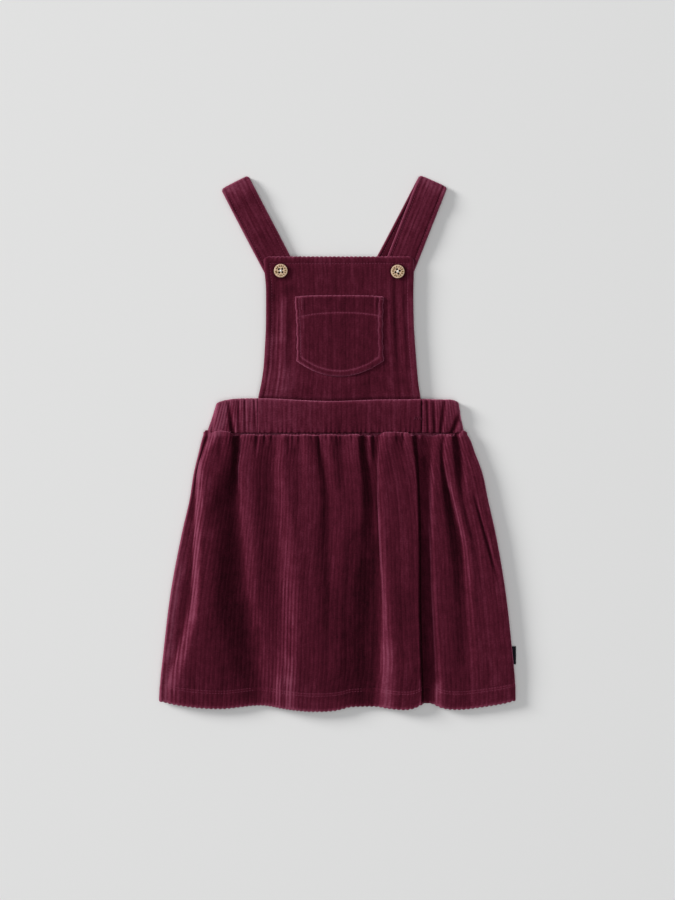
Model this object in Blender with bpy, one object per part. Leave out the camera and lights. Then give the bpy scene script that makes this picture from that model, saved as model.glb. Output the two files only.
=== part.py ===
"""Child's pinafore dress in ribbed velour, laid flat with its front up.

Sizes are in millimetres up to the moment a mesh is made, then in metres. +Z is up from the
surface the dress lies on, +Y points to the shoulders, and the origin is at the middle of the
bounding box, on the surface. Each cut piece is a closed wall. Its outer side is a grid with
two columns for each rib of the cloth, its inner side is plain, and the rims close the two.
"""

import math

import bmesh
import bpy
import numpy as np
from mathutils import Vector

MILLIMETRE = 0.001

# The lines below are drafted from the middle of the waist; this brings the bounding box's
# middle to the origin.
CENTRING = (-0.2, 0.85, 0.0)

# Cloth
RIB_PITCH = 4.8
RIB_HEIGHT = 0.6
WALL = 1.5
SEAM = 0.3

# Heights above the surface that the dress lies on
BACK_RIPPLE = 1.5
FRONT_INSIDE = BACK_RIPPLE + WALL + SEAM
FRONT_VALLEY = FRONT_INSIDE + WALL
BAND_BACK_HEIGHT = 3.9
BAND_FRONT_LOW = 4.9
BAND_FRONT_HIGH = 8.6
BIB_LOW = 5.8
BIB_WALL = 2.2

# Lines across the dress, along Y
WAIST_TOP = 45.6
WAIST_SEAM = 10.0
BIB_TOP = 199.6
SKIRT_LENGTH = 295.5

COLOURS = {
    "velour": (0.095, 0.016, 0.033),
    "button": (0.42, 0.27, 0.15),
    "label": (0.012, 0.012, 0.016),
}


# ---------------------------------------------------------------- curves and meshes

def smooth(share):
    """Soft step from 0 to 1 as share goes from 0 to 1."""
    share = np.clip(share, 0.0, 1.0)
    return share * share * (3.0 - 2.0 * share)


def glide(stops, values, at):
    """Smooth curve through (stops, values) that never overshoots them, read at 'at'."""
    stops = np.asarray(stops, float)
    values = np.asarray(values, float)
    steps = np.diff(stops)
    slopes = np.diff(values) / steps
    tangents = np.concatenate(([slopes[0]], 0.5 * (slopes[1:] + slopes[:-1]), [slopes[-1]]))
    turns = slopes[1:] * slopes[:-1] <= 0.0
    tangents[1:-1][turns] = 0.0
    limit = 3.0 * np.minimum(np.abs(np.append(slopes, slopes[-1])),
                             np.abs(np.insert(slopes, 0, slopes[0])))
    tangents = np.clip(tangents, -limit, limit)
    at = np.clip(np.asarray(at, float), stops[0], stops[-1])
    cell = np.clip(np.searchsorted(stops, at, side="right") - 1, 0, len(steps) - 1)
    part = (at - stops[cell]) / steps[cell]
    bend_in = (part ** 3 - 2.0 * part ** 2 + part) * steps[cell] * tangents[cell]
    bend_out = (part ** 3 - part ** 2) * steps[cell] * tangents[cell + 1]
    return values[cell] + (values[cell + 1] - values[cell]) * smooth(part) + bend_in + bend_out


def arc_places(places, heights, count):
    """Places that cut the section (places, heights) into 'count' equal lengths of cloth."""
    length = np.concatenate(([0.0], np.cumsum(np.hypot(np.diff(places), np.diff(heights)))))
    return np.interp(np.linspace(0.0, length[-1], count + 1), length, places)


def new_material(name, colour, roughness):
    material = bpy.data.materials.new(name)
    material.use_nodes = True
    shader = material.node_tree.nodes["Principled BSDF"]
    shader.inputs["Base Color"].default_value = (*colour, 1.0)
    shader.inputs["Roughness"].default_value = roughness
    shader.inputs["Metallic"].default_value = 0.0
    return material


def new_object(name, mesh_data, finish, roughness=0.9):
    """Put a finished bmesh into the scene as one named object with its own material."""
    bmesh.ops.recalc_face_normals(mesh_data, faces=mesh_data.faces)
    mesh = bpy.data.meshes.new(name)
    mesh_data.to_mesh(mesh)
    mesh_data.free()
    mesh.materials.append(new_material(name + "_finish", COLOURS[finish], roughness))
    thing = bpy.data.objects.new(name, mesh)
    bpy.context.scene.collection.objects.link(thing)
    return thing


def add_grid(mesh_data, points):
    """Add a grid face sheet with its points at points[row, column], in millimetres."""
    rows, columns = points.shape[:2]
    made = bmesh.ops.create_grid(mesh_data, x_segments=columns - 1, y_segments=rows - 1, size=0.5)
    table = np.empty((rows, columns), dtype=object)
    for vertex in made["verts"]:
        column = round((vertex.co.x + 0.5) * (columns - 1))
        row = round((vertex.co.y + 0.5) * (rows - 1))
        vertex.co = points[row, column] * MILLIMETRE
        table[row, column] = vertex
    return table


def zip_rims(mesh_data, first, second):
    """Close the gap between two rims that may have different numbers of points."""
    left, right = 0, 0
    while left < len(first) - 1 or right < len(second) - 1:
        next_left = (left + 1) / (len(first) - 1)
        next_right = (right + 1) / (len(second) - 1)
        if next_left <= next_right:
            mesh_data.faces.new((first[left], first[left + 1], second[right]))
            left += 1
        else:
            mesh_data.faces.new((first[left], second[right + 1], second[right]))
            right += 1


def wall(name, outer, inner, finish="velour"):
    """Closed wall of cloth between an outer and an inner grid of points."""
    mesh_data = bmesh.new()
    outside = add_grid(mesh_data, outer)
    inside = add_grid(mesh_data, inner)
    zip_rims(mesh_data, outside[0], inside[0])
    zip_rims(mesh_data, outside[-1], inside[-1])
    zip_rims(mesh_data, outside[:, 0], inside[:, 0])
    zip_rims(mesh_data, outside[:, -1], inside[:, -1])
    return new_object(name, mesh_data, finish)


def ribbed(points, height=RIB_HEIGHT):
    """Raise every second column of a grid along the section's normal, in the X-Z plane."""
    raised = points.copy()
    along = np.zeros_like(points)
    along[:, 1:-1] = points[:, 2:] - points[:, :-2]
    size = np.hypot(along[..., 0], along[..., 2])
    size[size == 0.0] = 1.0
    raised[:, 1::2, 0] -= (height * along[..., 2] / size)[:, 1::2]
    raised[:, 1::2, 2] += (height * along[..., 0] / size)[:, 1::2]
    return raised


# ---------------------------------------------------------------- skirt

# Side seams of the skirt: distance below the waist seam, then the two edges along X
SKIRT_EDGES = (
    # below   left    right
    (0.0, -143.8, 139.9),
    (20.0, -148.9, 147.0),
    (46.0, -154.8, 156.2),
    (72.0, -158.7, 161.2),
    (110.0, -167.2, 169.5),
    (175.0, -179.2, 180.4),
    (250.0, -188.0, 188.5),
    (272.0, -190.4, 190.6),
    (297.0, -191.9, 191.2),
)

# Ridges and valleys of the front, from the left side seam to the right one. Each line of the
# cloth is given by its place along X and its height at five distances below the waist seam.
LINE_STOPS = (0.0, 40.0, 95.0, 180.0, 276.0)
FOLD_LINES = (
    # name, places along X, heights
    ("side strip", (-141.5, -151.0, -158.5, -168.0, -178.0), (5.2, 5.8, 6.0, 6.2, 8.2)),
    ("side foot", (-138.5, -148.0, -153.5, -159.5, -169.5), (5.6, 6.2, 6.4, 7.0, 9.8)),
    ("side shoulder", (-136.0, -143.5, -144.5, -149.0, -158.5), (8.6, 10.0, 11.0, 11.5, 11.2)),
    ("side ridge", (-131.0, -134.0, -135.0, -137.0, -142.5), (9.5, 11.0, 12.0, 12.5, 12.0)),
    ("side fall", (-115.5, -116.5, -121.0, -113.5, -100.5), (8.2, 8.0, 8.0, 8.6, 8.0)),
    ("side valley", (-108.0, -109.0, -108.0, -99.5, -85.5), (5.0, 4.8, 4.8, 5.2, 5.2)),
    ("left ridge", (-84.5, -84.5, -83.5, -76.0, -66.0), (8.0, 8.4, 9.4, 7.6, 8.0)),
    ("left dip", (-68.5, -70.5, -69.5, -65.0, -59.5), (6.8, 7.0, 8.4, 7.0, 9.2)),
    ("middle left ridge", (-52.0, -50.0, -47.0, -37.0, -38.0), (9.0, 10.0, 11.8, 13.2, 13.6)),
    ("middle left dip", (-43.5, -41.5, -39.0, -28.5, -27.5), (8.2, 9.4, 11.8, 13.6, 13.8)),
    ("middle ridge", (-30.5, -26.5, -25.5, -20.0, -17.5), (10.0, 11.2, 12.6, 13.5, 13.7)),
    ("middle crease", (-21.0, -15.5, -9.0, -9.0, -6.0), (8.4, 9.4, 10.4, 12.4, 12.9)),
    ("middle right ridge", (-5.0, -1.5, 6.0, 2.5, 2.5), (9.8, 10.8, 11.4, 12.0, 11.4)),
    ("middle shoulder", (20.0, 21.0, 20.0, 14.5, 11.5), (9.4, 10.4, 10.4, 10.2, 9.0)),
    ("pleat valley", (40.0, 40.5, 41.0, 40.0, 33.0), (5.4, 5.0, 4.8, 4.8, 4.8)),
    ("pleat foot", (42.0, 42.0, 42.5, 44.0, 44.5), (5.6, 5.2, 5.0, 5.0, 5.0)),
    ("pleat left edge", (51.0, 51.0, 52.0, 56.5, 62.0), (10.4, 11.0, 11.4, 12.0, 12.6)),
    ("pleat middle", (67.0, 69.5, 70.5, 71.5, 73.5), (10.4, 11.0, 11.5, 12.0, 12.4)),
    ("pleat right edge", (78.5, 83.5, 85.0, 85.5, 85.5), (9.8, 10.4, 10.8, 11.2, 11.6)),
    ("deep foot", (84.5, 88.5, 90.0, 90.5, 91.0), (5.6, 5.2, 5.2, 5.2, 5.2)),
    ("deep valley", (96.0, 96.0, 94.0, 95.5, 99.5), (5.0, 4.8, 4.8, 4.8, 4.8)),
    ("narrow ridge", (105.0, 107.0, 108.0, 108.0, 116.5), (9.2, 9.6, 9.6, 9.0, 9.2)),
    ("narrow valley", (108.5, 115.0, 123.5, 133.0, 138.0), (8.6, 5.8, 4.8, 5.0, 7.6)),
    ("over ridge", (115.5, 124.0, 134.0, 146.5, 157.5), (10.5, 10.4, 10.4, 9.8, 9.2)),
    ("over dip", (124.5, 130.5, 139.0, 154.5, 166.0), (6.0, 7.2, 9.6, 9.8, 9.2)),
    ("end ridge", (131.5, 140.5, 149.0, 162.0, 174.5), (9.0, 9.4, 9.8, 9.6, 9.0)),
)

# Small gathers and creases of the front: where each one starts and ends, how wide and how
# high it is (a crease is negative), and how far below the seam it begins and fades out
GATHERS = (
    # top x, low x, width, height, begins, ends
    (-139.5, -141.5, 7.0, -1.6, 0.0, 24.0),
    (-97.3, -98.4, 5.5, -1.2, 0.0, 20.0),
    (-88.7, -89.8, 6.5, -1.8, 0.0, 30.0),
    (-72.6, -72.6, 6.5, 1.2, 0.0, 18.0),
    (-67.2, -68.3, 5.5, -1.5, 0.0, 22.0),
    (-53.2, -52.1, 5.5, -1.5, 0.0, 16.0),
    (-31.7, -30.6, 5.5, -1.5, 0.0, 16.0),
    (-17.2, -14.5, 5.5, -1.5, 0.0, 18.0),
    (-9.1, -7.0, 5.5, -1.0, 0.0, 22.0),
    (1.6, 3.8, 10.0, -2.5, 0.0, 46.0),
    (14.0, 14.5, 5.5, -2.0, 0.0, 17.0),
    (36.0, 37.0, 7.0, 1.8, 0.0, 32.0),
    (47.8, 48.9, 5.5, -1.3, 0.0, 18.0),
    (57.5, 57.5, 5.5, -0.7, 0.0, 22.0),
    (66.1, 67.2, 6.5, -1.6, 0.0, 27.0),
    (87.6, 88.7, 6.5, 2.2, 0.0, 22.0),
    (93.5, 93.0, 5.5, 1.8, 0.0, 18.0),
    (117.0, 119.5, 5.5, -0.8, 0.0, 20.0),
    (131.7, 137.0, 5.5, -0.8, 0.0, 22.0),
    (147.0, 173.0, 7.0, -2.4, 48.0, 158.0),
)

# Ripples of the back, which lies on the surface between them
RIPPLE_COUNT = 11
RIPPLE_WIDTH = 11.0

# Hem of the front: place along X, then distance below the waist seam
HEM = (
    # x, below
    (-191.9, 287.5),
    (-178.0, 290.5),
    (-152.0, 294.3),
    (-126.0, 295.6),
    (-84.0, 292.2),
    (-51.0, 296.5),
    (-26.0, 298.6),
    (-3.0, 297.6),
    (16.0, 293.6),
    (38.0, 293.3),
    (56.0, 295.4),
    (72.0, 296.5),
    (82.0, 295.0),
    (96.0, 289.2),
    (114.0, 295.2),
    (130.0, 296.5),
    (157.5, 293.5),
    (183.0, 289.0),
    (191.2, 286.5),
)

# The folds start low at the waist seam, and the small gathers fade at the side seams
SEAM_TUCK = 0.6
SEAM_REACH = 12.0
SIDE_FADE = 6.0
SKIRT_ROWS = (0.0, 4.0, 10.0, 22.0, 40.0, 65.0, 95.0, 135.0, 180.0, 225.0, 265.0, SKIRT_LENGTH)


def skirt_edge(below):
    stops, left, right = np.array(SKIRT_EDGES).T
    return glide(stops, left, below), glide(stops, right, below)


def gather_heights(x, below):
    """Height that the small gathers and creases add to the front, 'below' the waist seam."""
    height = np.zeros_like(x)
    for top, low, width, tall, begins, ends in GATHERS:
        share = (below - begins) / (ends - begins)
        if not 0.0 <= share < 1.0:
            continue
        fade = 1.0 - smooth(share) if begins == 0.0 else math.sin(math.pi * share) ** 0.7
        centre = top + (low - top) * share
        bump = np.cos(math.pi * np.clip((x - centre) / width, -0.5, 0.5)) ** 2
        height += tall * bump * fade
    return height


def front_height(x, below):
    """Height of the front's rib valleys above the surface."""
    left, right = skirt_edge(below)
    places = [left] + [glide(LINE_STOPS, row[1], below) for row in FOLD_LINES] + [right]
    heights = [glide(LINE_STOPS, row[2], below) for row in FOLD_LINES]
    folds = glide(places, [FRONT_VALLEY] + heights + [FRONT_VALLEY], x)
    share = 1.0 - SEAM_TUCK * (1.0 - smooth(below / SEAM_REACH))
    fade = smooth(np.minimum(x - left, right - x) / SIDE_FADE)
    raised = (folds - FRONT_VALLEY) * share + gather_heights(x, below) * fade
    return FRONT_VALLEY + np.maximum(raised, 0.0)


def hem_depth(x):
    """Distance of the front's hem below the waist seam."""
    stops, depths = np.array(HEM).T
    return glide(stops, depths, x)


def front_section(below, columns):
    """X and height of evenly spaced points of cloth across the front, with their slope."""
    left, right = skirt_edge(below)
    fine = np.linspace(left, right, 1200)
    x = arc_places(fine, front_height(fine, below), columns)
    nudge = 0.4
    slope = (front_height(x + nudge, below) - front_height(x - nudge, below)) / (2.0 * nudge)
    return x, front_height(x, below), slope


def skirt_front():
    left, right = skirt_edge(SKIRT_LENGTH)
    fine = np.linspace(left, right, 1200)
    hem_height = front_height(fine, SKIRT_LENGTH)
    hem_cloth = np.hypot(np.diff(fine), np.diff(hem_height)).sum()
    ribs = round(hem_cloth / RIB_PITCH)
    sides = []
    for columns, inner in ((2 * ribs, False), (ribs, True)):
        hem_x, _hem_z, _slope = front_section(SKIRT_LENGTH, columns)
        stretch = hem_depth(hem_x) / SKIRT_LENGTH
        points = np.empty((len(SKIRT_ROWS), columns + 1, 3))
        for row, below in enumerate(SKIRT_ROWS):
            x, z, slope = front_section(below, columns)
            if inner:
                z = z - np.minimum(WALL * np.sqrt(1.0 + slope ** 2), 2.0 * WALL)
                z = np.maximum(z, FRONT_INSIDE)
            points[row, :, 0] = x
            points[row, :, 1] = WAIST_SEAM - SEAM - below * stretch
            points[row, :, 2] = z
        sides.append(points if inner else ribbed(points))
    return wall("skirt_front", sides[0], sides[1])


def ripple(x, below, left, right):
    """Height of the back's underside: soft ripples that run down from the waist."""
    height = np.zeros_like(x)
    for number in range(RIPPLE_COUNT):
        share = (number + 0.5 + 0.28 * math.sin(2.3 * number)) / RIPPLE_COUNT
        centre = left + share * (right - left)
        reach = 150.0 + 80.0 * math.sin(1.7 * number + 0.6)
        width = RIPPLE_WIDTH * (1.0 + 0.25 * math.sin(3.1 * number))
        bump = np.cos(math.pi * np.clip((x - centre) / width, -0.5, 0.5)) ** 2
        height += BACK_RIPPLE * bump * (1.0 - smooth(below / reach))
    return height


def skirt_back():
    columns = 8 * RIPPLE_COUNT
    under = np.empty((len(SKIRT_ROWS), columns + 1, 3))
    for row, below in enumerate(SKIRT_ROWS):
        left, right = skirt_edge(below)
        x = np.linspace(left, right, columns + 1)
        stretch = (SKIRT_LENGTH - 5.0 - 3.0 * np.abs(x / 191.0) ** 6) / SKIRT_LENGTH
        under[row, :, 0] = x
        under[row, :, 1] = WAIST_SEAM - SEAM - below * stretch
        under[row, :, 2] = ripple(x, below, left, right)
    top = under[:, ::2].copy()
    top[..., 2] += WALL
    return wall("skirt_back", under, top)


# ---------------------------------------------------------------- waistband

FRONT_LEFT = -85.5
FRONT_RIGHT = 90.3
BAND_LEFT = -138.6
BAND_RIGHT = 136.0
BAND_ROWS = (0.0, 0.1, 0.5, 0.9, 1.0)
BAND_ROUND = 0.8
BAND_TUCK = 5.5
ELASTIC_FOLDS = 33


def band_round(share):
    """How far the face of the band turns in at its two long edges."""
    return BAND_ROUND * (1.0 - smooth(min(share, 1.0 - share) / 0.1))


def waistband_front():
    ribs = round((FRONT_RIGHT - FRONT_LEFT) / RIB_PITCH)
    sides = []
    for columns, inner in ((2 * ribs, False), (ribs, True)):
        x = np.linspace(FRONT_LEFT + 0.5 * SEAM, FRONT_RIGHT - 0.5 * SEAM, columns + 1)
        points = np.empty((len(BAND_ROWS), columns + 1, 3))
        for row, share in enumerate(BAND_ROWS):
            points[row, :, 0] = x
            points[row, :, 1] = WAIST_SEAM + share * (WAIST_TOP - WAIST_SEAM)
            face = BAND_FRONT_LOW + 0.4 * band_round(share) if inner else (
                BAND_FRONT_HIGH - band_round(share))
            points[row, :, 2] = face
        sides.append(points if inner else ribbed(points))
    return wall("waistband_front", sides[0], sides[1])


def band_path(columns):
    """Middle line of the gathered band: front left, round the side, back, and front right."""
    middle_low = 0.5 * BAND_BACK_HEIGHT
    middle_high = 0.5 * (BAND_FRONT_LOW + BAND_FRONT_HIGH)
    turn = 0.5 * (middle_high - middle_low)
    corner = math.pi * turn
    left_flat = FRONT_LEFT - 0.5 * SEAM - (BAND_LEFT + middle_low + turn)
    right_flat = BAND_RIGHT - middle_low - turn - (FRONT_RIGHT + 0.5 * SEAM)
    back_flat = BAND_RIGHT - BAND_LEFT - 2.0 * (middle_low + turn)
    total = left_flat + right_flat + back_flat + 2.0 * corner
    path = []
    for step in range(columns + 1):
        run = total * step / columns
        if run < left_flat:
            path.append((FRONT_LEFT - 0.5 * SEAM - run, middle_high, 0.0))
            continue
        run -= left_flat
        if run < corner:
            angle = run / turn
            path.append((BAND_LEFT + middle_low + turn - turn * math.sin(angle),
                         middle_low + turn + turn * math.cos(angle), angle))
            continue
        run -= corner
        if run < back_flat:
            path.append((BAND_LEFT + middle_low + turn + run, middle_low, math.pi))
            continue
        run -= back_flat
        if run < corner:
            angle = run / turn
            path.append((BAND_RIGHT - middle_low - turn + turn * math.sin(angle),
                         middle_low + turn - turn * math.cos(angle), math.pi + angle))
            continue
        run -= corner
        path.append((BAND_RIGHT - middle_low - turn - run, middle_high, 2.0 * math.pi))
    return path


def waistband_back():
    """Elasticated band: a sleeve of gathers that wraps round both sides to the front."""
    columns = 4 * (ELASTIC_FOLDS + 12)
    half = 0.5 * BAND_BACK_HEIGHT
    sides = []
    for inner in (False, True):
        path = band_path(columns)
        if inner:
            path = path[::2]
        points = np.empty((len(BAND_ROWS), len(path), 3))
        for row, share in enumerate(BAND_ROWS):
            for column, (x, z, turned) in enumerate(path):
                out_x = -math.sin(turned)
                out_z = math.cos(turned)
                at_ends = column == 0 or column == len(path) - 1
                if inner:
                    reach = -half + 0.4 * band_round(share)
                else:
                    groove = (1.0, 0.45, 0.0, 0.45)[column % 4] * (0.0 if at_ends else 1.1)
                    reach = half - groove - band_round(share)
                swell = 0.8 * smooth((abs(x) - 92.0) / 10.0) - 1.6 * smooth((abs(x) - 110.0) / 30.0)
                tuck = BAND_TUCK * share * smooth((abs(x) - 95.0) / 40.0)
                points[row, column, 0] = x + reach * out_x - math.copysign(tuck, x)
                points[row, column, 1] = WAIST_SEAM + share * (WAIST_TOP - WAIST_SEAM + swell)
                points[row, column, 2] = z + reach * out_z
        sides.append(points)
    return wall("waistband_back", sides[0], sides[1])


# ---------------------------------------------------------------- bib and pocket

# Left and right edge of the bib, from the waistband up
BIB_EDGES = (
    # y, left, right
    (46.0, -85.4, 89.6),
    (62.0, -82.2, 87.1),
    (80.0, -79.6, 85.4),
    (101.0, -78.2, 83.8),
    (125.0, -77.0, 82.2),
    (160.0, -76.8, 81.6),
    (190.0, -79.0, 82.2),
    (197.0, -79.6, 82.0),
)
BIB_CORNER = 5.0
BIB_ROWS = (46.0, 62.0, 82.0, 105.0, 130.0, 155.0, 178.0, 194.6, 197.2, 198.9, BIB_TOP)
BIB_RIBS = 33
BIB_SIDE_DROOP = 3.0


def bib_edge(y):
    stops, left, right = np.array(BIB_EDGES).T
    past = max(0.0, y - (BIB_TOP - BIB_CORNER))
    cut = BIB_CORNER - math.sqrt(max(0.0, BIB_CORNER ** 2 - past ** 2))
    return glide(stops, left, y) + cut, glide(stops, right, y) - cut


def bib_height(x, y):
    """Height of the bib's underside: flat over the straps, drooping at its free sides."""
    left, right = bib_edge(y)
    inset = np.minimum(x - left, right - x)
    free = smooth((y - 48.0) / 20.0) * smooth((158.0 - y) / 20.0)
    return BIB_LOW - BIB_SIDE_DROOP * free * (1.0 - smooth(inset / 26.0))


def bib():
    sides = []
    for columns, inner in ((2 * BIB_RIBS, False), (BIB_RIBS, True)):
        points = np.empty((len(BIB_ROWS), columns + 1, 3))
        for row, y in enumerate(BIB_ROWS):
            left, right = bib_edge(y)
            x = np.linspace(left, right, columns + 1)
            points[row, :, 0] = x
            points[row, :, 1] = y if row else WAIST_TOP + SEAM
            points[row, :, 2] = bib_height(x, y) + (0.0 if inner else BIB_WALL)
        sides.append(points if inner else ribbed(points))
    return wall("bib", sides[0], sides[1])


POCKET_LEFT = -46.0
POCKET_RIGHT = 49.4
POCKET_TOP = 158.6
POCKET_LOW = 71.0
POCKET_ROUND = 16.8
POCKET_RIBS = 19
POCKET_WALL = 1.5
POCKET_ROWS = (0.0, 0.03, 0.27, 0.55, 0.8, 0.97, 1.0)


def bib_pocket():
    lift = BIB_WALL + RIB_HEIGHT + SEAM
    middle = 0.5 * (POCKET_LEFT + POCKET_RIGHT)
    half = 0.5 * (POCKET_RIGHT - POCKET_LEFT)
    sides = []
    for columns, inner in ((2 * POCKET_RIBS, False), (POCKET_RIBS, True)):
        across = np.linspace(-1.0, 1.0, columns + 1)
        upper = POCKET_TOP - 2.4 * across ** 4
        lower = POCKET_LOW + POCKET_ROUND * np.abs(across) ** 2.05
        points = np.empty((len(POCKET_ROWS), columns + 1, 3))
        for row, share in enumerate(POCKET_ROWS):
            x = middle + half * across * (1.0 - 0.022 * math.sin(math.pi * share))
            y = upper + (lower - upper) * share
            under = np.array([bib_height(px, py) for px, py in zip(x, y)])
            rounded = 0.5 if share in (0.0, 1.0) else 0.0
            points[row, :, 0] = x
            points[row, :, 1] = y
            points[row, :, 2] = under + lift + (0.0 if inner else POCKET_WALL - rounded)
        sides.append(points if inner else ribbed(points))
    return wall("bib_pocket", sides[0], sides[1])


# ---------------------------------------------------------------- straps

STRAP_WIDTH = 33.0
STRAP_CORE = 2.0
STRAP_RIB = 0.5
STRAP_RIBS = 7
STRAP_LAYER = STRAP_CORE + STRAP_RIB + 0.35
STRAP_PAST_BUTTON = 17.0
FOLD_STEPS = 7
CLIMB = (140.0, 112.0)

BUTTONS = (
    # side, x, y, turned by
    ("left", -60.9, 184.3, 0.0),
    ("right", 64.3, 183.9, 25.0),
)

STRAPS = (
    # side, fold x, fold y, lower end x of the back stretch, how far it climbs at the crossing
    ("left", -110.7, 279.6, 16.2, 0.0),
    ("right", 103.2, 280.7, -24.0, STRAP_LAYER),
)


def back_line(fold_x, fold_y, end_x, y):
    """X of a back stretch: it leaves the fold at 27 degrees and opens a little lower down."""
    down = fold_y - y
    full = fold_y - WAIST_TOP
    way = 1.0 if end_x > fold_x else -1.0
    steep = way * math.tan(math.radians(27.0))
    return fold_x + steep * down + (end_x - fold_x - steep * full) * (down / full) ** 2


def strap_sections(side, fold_x, fold_y, end_x, climb):
    """Sections of a strap from its front end, over the fold and down the back.

    Each one has its middle, the unit vector across, the unit vector out of its outer side,
    its half width, and how high the ribs stand on the outer and on the inner side.
    """
    button = next(row for row in BUTTONS if row[0] == side)
    reach = math.hypot(fold_x - button[1], fold_y - button[2])
    front_way = np.array([(fold_x - button[1]) / reach, (fold_y - button[2]) / reach])
    front_end = np.array([button[1], button[2]]) - STRAP_PAST_BUTTON * front_way
    radius = 0.5 * STRAP_LAYER
    low = 0.5 * STRAP_CORE
    tangent = 1.0
    back_top = np.array([back_line(fold_x, fold_y, end_x, fold_y - tangent), fold_y - tangent])
    back_way = np.array([fold_x, fold_y]) - back_top
    back_way /= np.linalg.norm(back_way)
    across_front = np.array([front_way[1], -front_way[0]])
    across_back = np.array([back_way[1], -back_way[0]])
    fold_centre = np.array([fold_x, fold_y]) - (radius + low) * front_way
    sections = []
    for share in (0.0, 0.33, 0.66, 1.0):
        middle = front_end + (fold_centre - front_end) * share
        sections.append((*middle, low + 2.0 * radius, across_front, 0.0, 0.0, 1.0, 0.0))
    for step in range(1, FOLD_STEPS + 1):
        share = step / FOLD_STEPS
        angle = math.pi * share
        way = front_way + (back_way - front_way) * share
        across = across_front + (across_back - across_front) * share
        middle = fold_centre + radius * math.sin(angle) * way
        height = low + radius + radius * math.cos(angle)
        rib = 1.0 - smooth((share - 0.55) / 0.3)
        sections.append((*middle, height, across, angle, way, rib, 0.0))
    lower_end = WAIST_TOP + SEAM
    for y in (250.0, 215.0, 180.0, CLIMB[0], 131.0, 121.0, CLIMB[1], 92.0, 68.0, lower_end):
        x = back_line(fold_x, fold_y, end_x, y)
        slope = (back_line(fold_x, fold_y, end_x, y - 1.0) - x)
        way = np.array([-slope, 1.0]) / math.hypot(slope, 1.0)
        across = np.array([way[1], -way[0]])
        level = smooth((75.0 - y) / 25.0)
        across = across * (1.0 - level) + np.array([1.0 / way[1], 0.0]) * level
        up = climb * smooth((CLIMB[0] - y) / (CLIMB[0] - CLIMB[1]))
        sections.append((x, y, low + up, across, math.pi, way, 0.0, 1.0))
    return sections


def strap(side, fold_x, fold_y, end_x, climb):
    columns = 2 * STRAP_RIBS
    spread = np.linspace(-1.0, 1.0, columns + 1)
    sections = strap_sections(side, fold_x, fold_y, end_x, climb)
    outer = np.empty((len(sections), columns + 1, 3))
    inner = np.empty_like(outer)
    for row, (x, y, z, across, angle, way, rib_out, rib_in) in enumerate(sections):
        way = np.zeros(2) if np.ndim(way) == 0 else way
        out_flat = math.sin(angle)
        out_up = math.cos(angle)
        for column, place in enumerate(spread):
            crest = column % 2
            edge = 0.35 if column in (0, columns) else 0.0
            for points, sign, rib in ((outer, 1.0, rib_out), (inner, -1.0, rib_in)):
                reach = sign * (0.5 * STRAP_CORE - edge + crest * rib * STRAP_RIB)
                flat = across * place * 0.5 * STRAP_WIDTH + way * reach * out_flat
                points[row, column] = (x + flat[0], y + flat[1], z + reach * out_up)
    return wall("strap_" + side, outer, inner)


# ---------------------------------------------------------------- buttons and label

BUTTON_RADIUS = 7.5
BUTTON_HOLE = 0.8
BUTTON_HOLE_SPREAD = 1.75
BUTTON_SECTIONS = 28
# Half section of a button from its middle to its rim and back underneath
BUTTON_PROFILE = (
    # radius, height
    (0.0, 1.7),
    (3.4, 1.7),
    (4.1, 2.5),
    (6.4, 2.7),
    (7.2, 2.3),
    (7.5, 1.5),
    (6.9, 0.4),
    (5.2, 0.0),
    (0.0, 0.0),
)


def button(side, x, y, turned):
    """Turned button with four holes, seated just above the ribs of the bib."""
    seat = BIB_LOW + BIB_WALL + RIB_HEIGHT + SEAM
    mesh_data = bmesh.new()
    profile = [mesh_data.verts.new((r * MILLIMETRE, 0.0, z * MILLIMETRE))
               for r, z in BUTTON_PROFILE]
    edges = [mesh_data.edges.new(pair) for pair in zip(profile, profile[1:])]
    bmesh.ops.spin(mesh_data, geom=profile + edges, cent=(0.0, 0.0, 0.0), axis=(0.0, 0.0, 1.0),
                   angle=2.0 * math.pi, steps=BUTTON_SECTIONS, use_merge=True)
    bmesh.ops.remove_doubles(mesh_data, verts=mesh_data.verts, dist=1e-6)
    blank = new_object("button_" + side, mesh_data, "button", 0.45)
    blank.location = (x * MILLIMETRE, y * MILLIMETRE, seat * MILLIMETRE)
    blank.rotation_euler.z = math.radians(turned)
    holes = bmesh.new()
    for corner in range(4):
        angle = math.radians(45.0 + 90.0 * corner)
        made = bmesh.ops.create_cone(holes, cap_ends=True, segments=8, depth=8.0 * MILLIMETRE,
                                     radius1=BUTTON_HOLE * MILLIMETRE,
                                     radius2=BUTTON_HOLE * MILLIMETRE)
        spread = math.sqrt(2.0) * BUTTON_HOLE_SPREAD * MILLIMETRE
        shift = (spread * math.cos(angle), spread * math.sin(angle), 0.0)
        bmesh.ops.translate(holes, verts=made["verts"], vec=shift)
    drill = new_object("drill_" + side, holes, "button")
    drill.parent = blank
    drill.hide_render = True
    drill.display_type = "WIRE"
    cut = blank.modifiers.new("holes", "BOOLEAN")
    cut.object = drill
    cut.solver = "EXACT"
    return blank


LABEL_TOP = -219.5
LABEL_LOW = -238.8
LABEL_OUT = 4.8
LABEL_IN = 6.0
LABEL_WALL = 0.9


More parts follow.
